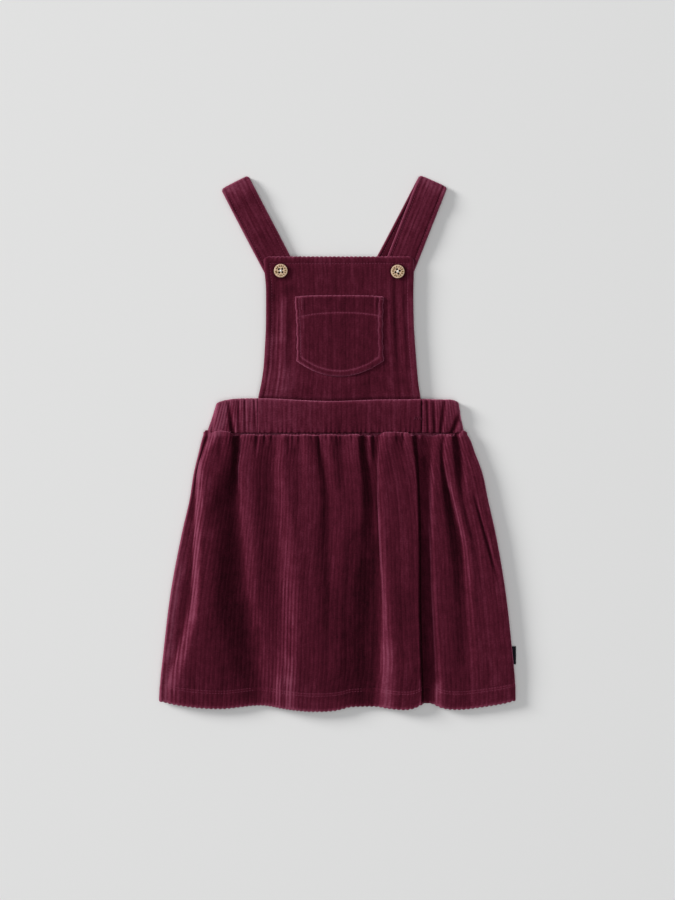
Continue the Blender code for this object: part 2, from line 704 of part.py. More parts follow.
def side_label():
    """Folded tape that is caught in the right side seam."""
    middle = 0.5 * (LABEL_TOP + LABEL_LOW)
    _left, edge = skirt_edge(WAIST_SEAM - middle)
    low = WALL + SEAM
    mesh_data = bmesh.new()
    bmesh.ops.create_cube(mesh_data, size=1.0)
    size = (LABEL_IN + LABEL_OUT, LABEL_TOP - LABEL_LOW, LABEL_WALL)
    centre = (edge + 0.5 * (LABEL_OUT - LABEL_IN), middle, low + 0.5 * LABEL_WALL)
    bmesh.ops.scale(mesh_data, verts=mesh_data.verts, vec=[side * MILLIMETRE for side in size])
    bmesh.ops.translate(mesh_data, verts=mesh_data.verts,
                        vec=[place * MILLIMETRE for place in centre])
    fold = [line for line in mesh_data.edges
            if all(end.co.x > centre[0] * MILLIMETRE for end in line.verts)
            and abs(line.verts[0].co.y - line.verts[1].co.y) > MILLIMETRE]
    bmesh.ops.bevel(mesh_data, geom=fold, offset=0.4 * MILLIMETRE, offset_type="OFFSET",
                    segments=3, profile=0.5, affect="EDGES", material=-1)
    return new_object("side_label", mesh_data, "label")


def main():
    for thing in list(bpy.data.objects):
        bpy.data.objects.remove(thing)
    skirt_back()
    skirt_front()
    waistband_back()
    waistband_front()
    bib()
    bib_pocket()
    for row in STRAPS:
        strap(*row)
    for row in BUTTONS:
        button(*row)
    side_label()
    for thing in bpy.data.objects:
        if thing.parent is None:
            thing.location += Vector(CENTRING) * MILLIMETRE


main()
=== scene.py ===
"""Looks of a child's pinafore dress in ribbed velour, laid flat with its front up.

Sizes are in millimetres and are drafted from the middle of the waist, as the solids are, up to
the moment a mesh is made. +Z is up from the surface and +Y points to the shoulders. Each piece
of cloth is a thin closed shell on its solid's form, between a face grid and a back grid, with
its ribs, folds, gathers and stitched lines in the points.

Folds, gathers and creases are placed on a draft: a grid of small squares that are counted from
its left edge and from its top edge.
"""

import math

import bmesh
import bpy
import numpy as np
from mathutils import Matrix, Vector


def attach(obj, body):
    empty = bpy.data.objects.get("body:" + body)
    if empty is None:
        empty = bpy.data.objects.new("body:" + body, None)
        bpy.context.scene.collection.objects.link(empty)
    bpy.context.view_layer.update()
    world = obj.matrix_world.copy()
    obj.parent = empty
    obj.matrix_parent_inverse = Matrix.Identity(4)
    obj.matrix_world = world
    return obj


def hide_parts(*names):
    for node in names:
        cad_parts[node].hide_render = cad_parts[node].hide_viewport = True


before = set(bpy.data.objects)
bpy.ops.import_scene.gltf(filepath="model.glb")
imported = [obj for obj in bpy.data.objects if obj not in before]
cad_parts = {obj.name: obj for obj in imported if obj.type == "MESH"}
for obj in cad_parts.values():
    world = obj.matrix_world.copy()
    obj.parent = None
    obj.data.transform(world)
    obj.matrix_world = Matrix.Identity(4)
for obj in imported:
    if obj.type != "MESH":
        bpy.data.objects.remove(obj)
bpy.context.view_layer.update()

MM = 0.001
CENTRING = np.array((-0.2, 0.85, 0))

# The draft
SQUARE = 1.075
DRAFT_MIDDLE = 337.5
DRAFT_WAIST = 442.5
DRAFT_SEAM = 433.2

# Cloth
RIB_PITCH = 4.8
RIB_COLUMNS = 6
RIB_TOP = 0.6
WALL = 1.5
SEAM = 0.3

# Heights above the surface that the dress lies on
BACK_RIPPLE = 1.5
FRONT_INSIDE = BACK_RIPPLE + WALL + SEAM
FRONT_VALLEY = FRONT_INSIDE + WALL
BAND_BACK_HEIGHT = 3.9
BAND_FRONT_LOW = 4.9
BAND_FRONT_HIGH = 8.6
BIB_LOW = 5.8
BIB_WALL = 2.2

# Lines across the dress, along Y
WAIST_TOP = 45.6
WAIST_SEAM = 10
BIB_TOP = 199.6
SKIRT_LENGTH = 295.5

# Seeds of the uneven ribs
SEEDS = {"skirt_front": 71, "skirt_back": 72, "waistband_front": 73, "waistband_back": 74,
         "bib": 75, "bib_pocket": 76, "strap_left": 77, "strap_right": 78}


def across_draft(squares):
    """Place along X of a line on the draft."""
    return (np.asarray(squares, float) - DRAFT_MIDDLE) * SQUARE


# ---------------------------------------------------------------- camera, light and floor

PICTURE_HEIGHT = 900
CAMERA_AIM = (-0.2, -7.2, 6)
CAMERA_DISTANCE = 2300
SENSOR = 36
LAMPS = (
    # name, power in watts, distance in metres, size in metres, azimuth, elevation, colour
    ("key_light", 1750, 12.5, 4.5, 155, 20, (1, 0.995, 0.985)),
    ("top_light", 108, 5, 5, -50, 84, (0.99, 0.995, 1)),
)
FILL_COLOUR = (0.97, 0.985, 1, 1)
FILL_STRENGTH = 0.2
FLOOR_SIZE = 12
FLOOR_DROP = 0.0002


def add_camera():
    """Camera straight above the dress."""
    eye = bpy.data.cameras.new("camera")
    eye.sensor_width = SENSOR
    eye.lens = SENSOR * CAMERA_DISTANCE / (SQUARE * PICTURE_HEIGHT)
    eye.clip_end = 40
    camera = bpy.data.objects.new("camera", eye)
    camera.location = (Vector(CAMERA_AIM) + Vector((0, 0, CAMERA_DISTANCE))) * MM
    bpy.context.scene.collection.objects.link(camera)
    bpy.context.scene.camera = camera


def add_lights():
    """Soft key light low on the left, a wide light overhead, and a faint even fill."""
    for name, power, distance, size, azimuth, elevation, colour in LAMPS:
        lamp = bpy.data.lights.new(name, "AREA")
        lamp.shape = "DISK"
        lamp.size = size
        lamp.energy = power
        lamp.color = colour
        holder = bpy.data.objects.new(name, lamp)
        turn = math.radians(azimuth)
        rise = math.radians(elevation)
        way = Vector((math.cos(turn) * math.cos(rise), math.sin(turn) * math.cos(rise),
                      math.sin(rise)))
        holder.location = way * distance
        holder.rotation_mode = "QUATERNION"
        holder.rotation_quaternion = way.to_track_quat("Z", "Y")
        bpy.context.scene.collection.objects.link(holder)
    world = bpy.data.worlds.new("studio")
    world.use_nodes = True
    fill = world.node_tree.nodes["Background"]
    fill.inputs["Color"].default_value = FILL_COLOUR
    fill.inputs["Strength"].default_value = FILL_STRENGTH
    bpy.context.scene.world = world
    bpy.context.scene.view_settings.view_transform = "Standard"


def floor():
    """Pale floor, just under the dress."""
    plate = bmesh.new()
    bmesh.ops.create_grid(plate, x_segments=1, y_segments=1, size=FLOOR_SIZE,
                          matrix=Matrix.Translation((0, 0, -FLOOR_DROP)))
    mesh = finished(plate, "floor")
    mesh.materials.append(FINISH["floor"])
    ground = bpy.data.objects.new("floor", mesh)
    bpy.context.scene.collection.objects.link(ground)


# ---------------------------------------------------------------- curves and sections

EDGE_COLUMNS = np.array((0, 0.12, 0.45))
UNEVEN_STEP = 34


def smooth(share):
    """Soft step from 0 to 1 as share goes from 0 to 1."""
    share = np.clip(share, 0, 1)
    return share * share * (3 - 2 * share)


def glide(stops, values, at):
    """Smooth curve through (stops, values) that never overshoots them, read at 'at'."""
    stops = np.asarray(stops, float)
    values = np.asarray(values, float)
    steps = np.diff(stops)
    slopes = np.diff(values) / steps
    tangents = np.concatenate(([slopes[0]], 0.5 * (slopes[1:] + slopes[:-1]), [slopes[-1]]))
    turns = slopes[1:] * slopes[:-1] <= 0
    tangents[1:-1][turns] = 0
    limit = 3 * np.minimum(np.abs(np.append(slopes, slopes[-1])),
                             np.abs(np.insert(slopes, 0, slopes[0])))
    tangents = np.clip(tangents, -limit, limit)
    at = np.clip(np.asarray(at, float), stops[0], stops[-1])
    cell = np.clip(np.searchsorted(stops, at, side="right") - 1, 0, len(steps) - 1)
    part = (at - stops[cell]) / steps[cell]
    bend_in = (part ** 3 - 2 * part ** 2 + part) * steps[cell] * tangents[cell]
    bend_out = (part ** 3 - part ** 2) * steps[cell] * tangents[cell + 1]
    return values[cell] + (values[cell + 1] - values[cell]) * smooth(part) + bend_in + bend_out


def curve(table, at):
    """Smooth curve through a table's rows: one value, or one for each column past the first."""
    stops, *columns = np.array(table).T
    values = [glide(stops, column, at) for column in columns]
    return values if len(values) > 1 else values[0]


def hump(distance, width):
    """Rounded bump of height 1 that reaches nothing at half its width."""
    return np.cos(math.pi * np.clip(distance / width, -0.5, 0.5)) ** 2


def bell(distance, width):
    """Soft bell of height 1."""
    return np.exp(-(distance / width) ** 2)


def rolled(inset, radius):
    """How far a rounded edge has dropped at 'inset' inside it."""
    short = np.clip(radius - inset, 0, radius)
    return radius - np.sqrt(radius ** 2 - short ** 2)


def within(x, edges):
    """Distance inside the nearer one of two edges."""
    return np.minimum(x - edges[0], edges[1] - x)


def nearest(values, value):
    """Index of the entry that lies nearest to a value."""
    return int(np.argmin(np.abs(values - value)))


def run_along(path):
    """Length of a path of points up to each one of them."""
    return np.concatenate(([0], np.cumsum(np.linalg.norm(np.diff(path, axis=0), axis=1))))


def wales(places, pitch):
    """Height of the round ribs at places across the cloth, 0 in a groove and 1 on a rib."""
    return np.abs(np.sin(math.pi * places / pitch)) ** 0.7


def ribbed(width, ribs):
    """Places of a grid's columns, the ribs' height there, and the distance from the sides.

    There are six columns for each rib, and closer ones at both edges.
    """
    inner = np.linspace(0, width, RIB_COLUMNS * ribs + 1)[1:-1]
    across = np.unique(np.concatenate((EDGE_COLUMNS, inner, width - EDGE_COLUMNS)))
    return across, wales(across, width / ribs), within(across, (0, width))


def new_grids(rows, columns):
    """Grids of points[row, column]: the plain face, the ribbed face and the back."""
    return [np.empty((rows, columns, 3)) for _grid in range(3)]


def lay(line, x, y, z):
    """Set the points of one row of a grid."""
    line[:, 0] = x
    line[:, 1] = y
    line[:, 2] = z


def uneven(across, along, pitch, seed, single, slow):
    """Uneven values that differ from rib to rib and change slowly along each of them."""
    draw = np.random.default_rng(seed)
    number = np.floor(across / pitch).astype(int)
    knots = np.arange(0, along.max() + 2 * UNEVEN_STEP, UNEVEN_STEP)
    values = draw.normal(0, slow, (number.max() + 1, len(knots)))
    values += draw.normal(0, single, (number.max() + 1, 1))
    table = np.array([np.interp(along, knots, row) for row in values])
    return table[number].T


def streaks(across, along, pitch, seed):
    """Uneven shade of single ribs."""
    return uneven(across, along, pitch, seed, 0.05, 0.05)


def worn(across, along, pitch, seed):
    """Uneven strength of single ribs: some stand out and some are brushed flat."""
    return np.clip(1 + uneven(across, along, pitch, seed + 10, 0.5, 0.35), 0, 2.4)


# ---------------------------------------------------------------- painted light and shade of the pile

# The pile is painted as if lit from this side: painted highlight where the cloth faces it, painted shade
# where it faces away, in deep folds and along stitched lines, and painted highlights on rib tips and free
# edges.
PAINTED_LIGHT_SIDE = np.array((-0.9, 0.43, 0))
LIT_GAIN = 0.48
DARK_GAIN = 1.8
DEEP_GAIN = 0.7
RIM_GAIN = 0.4
RIM_WIDTH = 1.5
STITCH_GAIN = 0.12
SHADE_KNEE = -0.5
SHADE_LEAST = -0.92
STROKE_END = 9


def strokes(x, y, table):
    """Amount that a table of strokes adds at points: painted light and shade of the pile, or strength of
    its ribs.
    """
    amounts = np.zeros_like(x)
    row = DRAFT_WAIST - y / SQUARE
    for across, down, to_across, to_down, wide, amount in table:
        middle = across_draft(across + (to_across - across) * (row - down) / (to_down - down))
        ends = smooth((row - down) / STROKE_END + 0.5) * smooth((to_down - row) / STROKE_END + 0.5)
        amounts += amount * bell(x - middle, wide * SQUARE) * ends
    return amounts


def paint_light_and_shade(plain, facing, wale, ribs=1, deep=0, inset=None, sewn=0, extra=0,
            rim=RIM_GAIN):
    """Painted light and shade of the pile, from -1 to 1.

    The pile is painted bright where the cloth faces the key light's side and dark where it faces
    away. Painted shade lies in deep folds, painted shade or highlight lies along stitched lines, and
    painted highlights lie on rib tips and free edges.
    """
    normal = np.cross(np.gradient(plain, axis=1), np.gradient(plain, axis=0)) * facing
    normal /= np.linalg.norm(normal, axis=2, keepdims=True) + 1e-9
    lean = normal @ PAINTED_LIGHT_SIDE
    tips = (wale ** 3 - 0.5) * ribs * (0.1 + 1.1 * np.clip(lean + 0.35 * extra, -0.2, 0.5))
    edge = 0 if inset is None else bell(inset, RIM_WIDTH)
    light = np.where(lean > 0, LIT_GAIN * lean, DARK_GAIN * lean * (1 - edge))
    shade = light + tips + rim * edge - DEEP_GAIN * smooth(deep) - STITCH_GAIN * sewn + extra
    span = SHADE_KNEE - SHADE_LEAST
    levelled = SHADE_LEAST + span * np.exp((np.minimum(shade, SHADE_KNEE) - SHADE_KNEE) / span)
    return np.minimum(np.where(shade < SHADE_KNEE, levelled, shade), 1)


# ---------------------------------------------------------------- finishes

SHEEN_TINT = (1, 0.3, 0.5, 1)
# Lit and shaded colours of the one velour, picked by the painted light and shade
PAINTED_LIGHT_COLOURS = (
    # painted light and shade from 0 to 1 (0 is painted shade, 1 painted highlight), colour of the pile
    (0, (0.018, 0.0034, 0.0060, 1)),
    (0.25, (0.040, 0.0050, 0.0108, 1)),
    (0.5, (0.070, 0.0080, 0.0185, 1)),
    (0.75, (0.113, 0.0170, 0.036, 1)),
    (1, (0.175, 0.040, 0.071, 1)),
)
COCONUT_COLOURS = ((0.3, (0.46, 0.29, 0.17, 1)), (0.66, (0.74, 0.54, 0.38, 1)))
FLECK_COLOUR = (0.3, 0.17, 0.07, 1)
THREAD_COLOUR = (0.19, 0.026, 0.064, 1)
THREAD_SHADOW = 0.72
CREAM = (0.95, 0.93, 0.9, 1)
WHITE = (1, 1, 1, 1)
FINISH = {}


def add_node(tree, kind, values=None, **settings):
    """New node of that kind, with its settings and the values of its inputs by name."""
    made = tree.nodes.new(kind)
    for key, value in settings.items():
        setattr(made, key, value)
    for key, value in (values or {}).items():
        made.inputs[key].default_value = value
    return made


def add_ramp(tree, stops):
    """Colour ramp through a table of places and colours."""
    node = add_node(tree, "ShaderNodeValToRGB")
    elements = node.color_ramp.elements
    for _spare in range(len(stops) - len(elements)):
        elements.new(0.5)
    for element, (place, colour) in zip(elements, stops):
        element.position = place
        element.color = colour
    return node


def wire(tree, *routes):
    """Link nodes: each route names a node, its output, the next node and its input."""
    for start, output, end, socket in routes:
        tree.links.new(start.outputs[output], end.inputs[socket])


def pile_group():
    """Node group for the pile: painted light and shade from the attribute, with uneven random tone added,
    and its fine height.
    """
    group = bpy.data.node_groups.new("pile", "ShaderNodeTree")
    for name, kind, way in (("Cloth", "Vector", "INPUT"), ("Painted light and tone", "Float", "INPUT"),
                            ("Streak", "Float", "INPUT"), ("Patch", "Float", "INPUT"),
                            ("Grain", "Float", "INPUT"), ("Shade", "Float", "OUTPUT"),
                            ("Height", "Float", "OUTPUT")):
        group.interface.new_socket(name=name, in_out=way, socket_type="NodeSocket" + kind)
    source = group.nodes.new("NodeGroupInput")
    sink = group.nodes.new("NodeGroupOutput")
    along = add_node(group, "ShaderNodeMapping", {"Scale": (620, 60, 1)})
    aside = add_node(group, "ShaderNodeMapping", {"Scale": (380, 760, 1)})
    total = add_node(group, "ShaderNodeMath", {1: 0.5, 2: 0.5}, operation="MULTIPLY_ADD")
    wire(group, (source, "Cloth", along, "Vector"), (source, "Cloth", aside, "Vector"),
         (source, "Painted light and tone", total, 0))
    for amount, scale, place in (("Streak", 1, along), ("Patch", 110, source),
                                 ("Grain", 1, aside)):
        noise = add_node(group, "ShaderNodeTexNoise", {"Scale": scale, "Detail": 3},
                         noise_dimensions="2D")
        centred = add_node(group, "ShaderNodeMath", {1: 0.5}, operation="SUBTRACT")
        both = add_node(group, "ShaderNodeMath", operation="MULTIPLY_ADD")
        wire(group, (place, 0, noise, "Vector"), (noise, "Fac", centred, 0),
             (centred, 0, both, 0), (source, amount, both, 1), (total, 0, both, 2))
        total = both
    fibres = add_node(group, "ShaderNodeTexNoise", {"Scale": 1300, "Detail": 2},
                      noise_dimensions="2D")
    wire(group, (total, 0, sink, "Shade"), (source, "Cloth", fibres, "Vector"),
         (fibres, "Fac", sink, "Height"))
    return group


def new_finish(name, roughness, **constants):
    """Material with a Principled shader whose named sockets hold plain values."""
    material = bpy.data.materials.new(name)
    material.use_nodes = True
    shader = material.node_tree.nodes["Principled BSDF"]
    shader.inputs["Roughness"].default_value = roughness
    for key, value in constants.items():
        shader.inputs[key.replace("_", " ")].default_value = value
    return material, material.node_tree, shader


def velour_finish(name, pile, sheen, fibre, **amounts):
    """Ribbed velour coloured by painted light and shade: dark where shade is painted, brighter and pinker
    where highlights are painted.
    """
    material, tree, shader = new_finish(
        name, 0.95, Specular_IOR_Level=0, Sheen_Roughness=0.45, Sheen_Tint=SHEEN_TINT)
    cloth = add_node(tree, "ShaderNodeUVMap", uv_map="cloth")
    painted_light_and_tone = add_node(tree, "ShaderNodeAttribute", attribute_name="painted_light_and_tone")
    group = add_node(tree, "ShaderNodeGroup", amounts, node_tree=pile)
    colour = add_ramp(tree, PAINTED_LIGHT_COLOURS)
    # The sheen weight follows the painted light and shade: low in painted shade, high in painted
    # highlights.
    sheen_by_painted_light = add_node(tree, "ShaderNodeMapRange", {"From Min": 0.1, "From Max": 1,
                                                 "To Max": sheen})
    bump = add_node(tree, "ShaderNodeBump", {"Strength": fibre, "Distance": 0.0004})
    wire(tree, (cloth, "UV", group, "Cloth"), (painted_light_and_tone, "Fac", group, "Painted light and tone"),
         (group, "Shade", colour, "Fac"), (group, "Shade", sheen_by_painted_light, "Value"),
         (sheen_by_painted_light, "Result", shader, "Sheen Weight"), (colour, "Color", shader, "Base Color"),
         (group, "Height", bump, "Height"), (bump, "Normal", shader, "Normal"))
    return material


def striped_finish(name, roughness, colours, scale, distortion, way, relief, **constants):
    """Finish in fine stripes of two colours: twisted thread or woven tape."""
    material, tree, shader = new_finish(name, roughness, **constants)
    place = add_node(tree, "ShaderNodeTexCoord")
    stripes = add_node(tree, "ShaderNodeTexWave", {"Scale": scale, "Distortion": distortion},
                       bands_direction=way)
    tone = add_node(tree, "ShaderNodeMix", {6: colours[0], 7: colours[1]}, data_type="RGBA")
    bump = add_node(tree, "ShaderNodeBump", {"Strength": relief, "Distance": 0.0001})
    wire(tree, (place, "Object", stripes, "Vector"), (stripes, "Fac", tone, 0),
         (stripes, "Fac", bump, "Height"), (tone, 2, shader, "Base Color"),
         (bump, "Normal", shader, "Normal"))
    return material


def thread_finish(name, colour, sheen_tint):
    """Twisted sewing thread."""
    shadow = tuple(THREAD_SHADOW * part for part in colour[:3]) + (1,)
    return striped_finish(name, 0.6, (shadow, colour), 900, 1.5, "DIAGONAL", 0.5,
                          Sheen_Weight=0.2, Sheen_Tint=sheen_tint, Specular_IOR_Level=0.25)


def coconut_finish():
    """Pale coconut shell with short grain and brown flecks."""
    material, tree, shader = new_finish("coconut", 0.5, Coat_Weight=0.1, Coat_Roughness=0.35)
    place = add_node(tree, "ShaderNodeTexCoord")
    stretch = add_node(tree, "ShaderNodeMapping", {"Scale": (350, 1100, 350)})
    grain = add_node(tree, "ShaderNodeTexNoise", {"Scale": 1, "Detail": 5})
    flecks = add_node(tree, "ShaderNodeTexNoise", {"Scale": 1000, "Detail": 4})
    tone = add_ramp(tree, COCONUT_COLOURS)
    spots = add_node(tree, "ShaderNodeMapRange", {"From Min": 0.56, "From Max": 0.7})
    fleck = add_node(tree, "ShaderNodeMix", {7: FLECK_COLOUR}, data_type="RGBA")
    bump = add_node(tree, "ShaderNodeBump", {"Strength": 0.3, "Distance": 0.0002})
    wire(tree, (place, "Object", stretch, "Vector"), (stretch, "Vector", grain, "Vector"),
         (place, "Object", flecks, "Vector"), (grain, "Fac", tone, "Fac"),
         (flecks, "Fac", spots, "Value"), (spots, "Result", fleck, 0),
         (tone, "Color", fleck, 6), (fleck, 2, shader, "Base Color"),
         (grain, "Fac", bump, "Height"), (bump, "Normal", shader, "Normal"))
    return material


def plain_finish(name, colour, roughness, specular=0.5):
    """Even finish for the floor, for burnt marks and for the painted shadow in a button's holes."""
    return new_finish(name, roughness, Base_Color=colour, Specular_IOR_Level=specular)[0]


def make_finishes():
    """All the finishes, kept by a short name."""
    pile = pile_group()
    FINISH["velour"] = velour_finish("velour", pile, 0.85, 0.5,
                                     Streak=0.35, Patch=0.25, Grain=0.4)
    FINISH["reverse"] = velour_finish("velour_reverse", pile, 0.2, 0.25,
                                      Streak=0.1, Patch=0.1, Grain=0.15)
    FINISH["thread"] = thread_finish("burgundy_thread", THREAD_COLOUR, SHEEN_TINT)
    FINISH["white_thread"] = thread_finish("cream_thread", CREAM, WHITE)
    FINISH["coconut"] = coconut_finish()
    FINISH["burnt"] = plain_finish("burnt_marks", (0.16, 0.095, 0.028, 1), 0.8, 0.2)
    # Near-black rods in the button holes are painted shadow.
    FINISH["hole"] = plain_finish("button_holes", (0.004, 0.002, 0.002, 1), 1, 0)
    FINISH["tape"] = striped_finish(
        "label_tape", 0.85, ((0.003, 0.0035, 0.006, 1), (0.007, 0.008, 0.013, 1)), 500,
        0, "Y", 0.4, Specular_IOR_Level=0.2)
    FINISH["floor"] = plain_finish("pale_floor", (0.79, 0.79, 0.787, 1), 0.95)


# ---------------------------------------------------------------- meshes

STITCH_PITCH = 3.1
STITCH_SHOWS = 2.2
STITCH_SINK = 0.3


def finished(made, name):
    """Mesh of what was made, which is then freed."""
    mesh = bpy.data.meshes.new(name)
    made.to_mesh(mesh)
    made.free()
    return mesh


def keep(name, mesh, finishes, node=None):
    """Link a finished mesh as a piece of the dress that may stand for a solid."""
    for finish in finishes:
        mesh.materials.append(FINISH[finish])
    piece = bpy.data.objects.new(name, mesh)
    bpy.context.scene.collection.objects.link(piece)
    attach(piece, "root")
    if node:
        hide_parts(node)
    return piece


def shell(node, face, back, across, painted_light_and_tone):
    """Closed shell of cloth between a face grid and a back grid of points[row, column]."""
    name = node + "_cloth"
    rows, columns = face.shape[:2]
    cloth = bmesh.new()
    for level in (0, -1):
        bmesh.ops.create_grid(cloth, x_segments=columns - 1, y_segments=rows - 1, size=0.5,
                              matrix=Matrix.Translation((0, 0, level)))
    bmesh.ops.bridge_loops(cloth, edges=[edge for edge in cloth.edges if edge.is_boundary])
    points = np.concatenate((face.reshape(-1, 3), back.reshape(-1, 3)))
    points[:, 2] = np.maximum(points[:, 2], 0)
    for vertex, point in zip(cloth.verts, (points + CENTRING) * MM):
        vertex.co = point
    bmesh.ops.recalc_face_normals(cloth, faces=cloth.faces)
    mesh = finished(cloth, name)
    mesh.shade_smooth()
    patch = (rows - 1) * (columns - 1)
    finish = np.zeros(len(mesh.polygons), np.int32)
    finish[patch:2 * patch] = 1
    mesh.polygons.foreach_set("material_index", finish)
    flat = np.empty((2, rows, columns, 2))
    flat[..., 0] = across
    flat[..., 1] = run_along(face[:, columns // 2])[:, None]
    corner = np.empty(len(mesh.loops), np.int32)
    mesh.loops.foreach_get("vertex_index", corner)
    layout = mesh.uv_layers.new(name="cloth")
    layout.uv.foreach_set("vector", (flat.reshape(-1, 2) * MM)[corner].astype(np.float32).ravel())
    # Painted light and shade of the pile, with random tone, kept as a point attribute on the face and the
    # back.
    shades = np.zeros((2, rows, columns), np.float32)
    shades[:] = painted_light_and_tone
    mesh.attributes.new("painted_light_and_tone", "FLOAT", "POINT").data.foreach_set("value", shades.ravel())
    return keep(name, mesh, ("velour", "reverse"), node)


def thread(name, strands, thickness, finish="thread"):
    """Strands of thread along lists of points, joined into one mesh."""
    line = bpy.data.curves.new(name, "CURVE")
    line.dimensions = "3D"
    line.bevel_depth = 0.5 * thickness * MM
    line.bevel_resolution = 1
    line.use_fill_caps = True
    for strand in strands:
        spline = line.splines.new("POLY")
        spline.points.add(len(strand) - 1)
        places = np.asarray(strand) + CENTRING
        places[:, 2] = np.maximum(places[:, 2], 0.5 * thickness)
        for point, place in zip(spline.points, places * MM):
            point.co = (*place, 1)
    carrier = bpy.data.objects.new(name + "_line", line)
    mesh = bpy.data.meshes.new_from_object(carrier)
    bpy.data.objects.remove(carrier)
    bpy.data.curves.remove(line)
    mesh.name = name
    mesh.shade_smooth()
    return keep(name, mesh, (finish,))


def stitches(path, up=1):
    """Short strands along a path of points, each with its two ends sunk into the cloth."""
    path = np.asarray(path)
    run = run_along(path)
    strands = []
    for start in np.arange(0.5 * STITCH_PITCH, run[-1] - STITCH_PITCH, STITCH_PITCH):
        at = start + STITCH_SHOWS * np.array((0, 0.2, 0.8, 1))
        strand = np.stack([np.interp(at, run, path[:, axis]) for axis in range(3)], axis=1)
        strand[:, 2] += up * np.array((-STITCH_SINK, 0.1, 0.1, -STITCH_SINK))
        strands.append(strand)
    return strands


def puckered(run):
    """Depth of a stitched line along its run: each stitch pulls the cloth in."""
    return 0.7 + 0.3 * np.cos(2 * math.pi * run / STITCH_PITCH)


# ---------------------------------------------------------------- skirt

# Side seams of the skirt: distance below the waist seam, then the two edges along X
SKIRT_EDGES = (
    # below, left, right
    (0, -143.4, 137.4), (5, -145.2, 141.4), (20, -148.9, 147),
    (46, -154.8, 156.2), (72, -158.7, 161.2), (110, -167.2, 169.5),
    (175, -179.2, 180.4), (250, -188, 188.5), (272, -190.4, 190.6),
    (297, -191.9, 191.2),
)

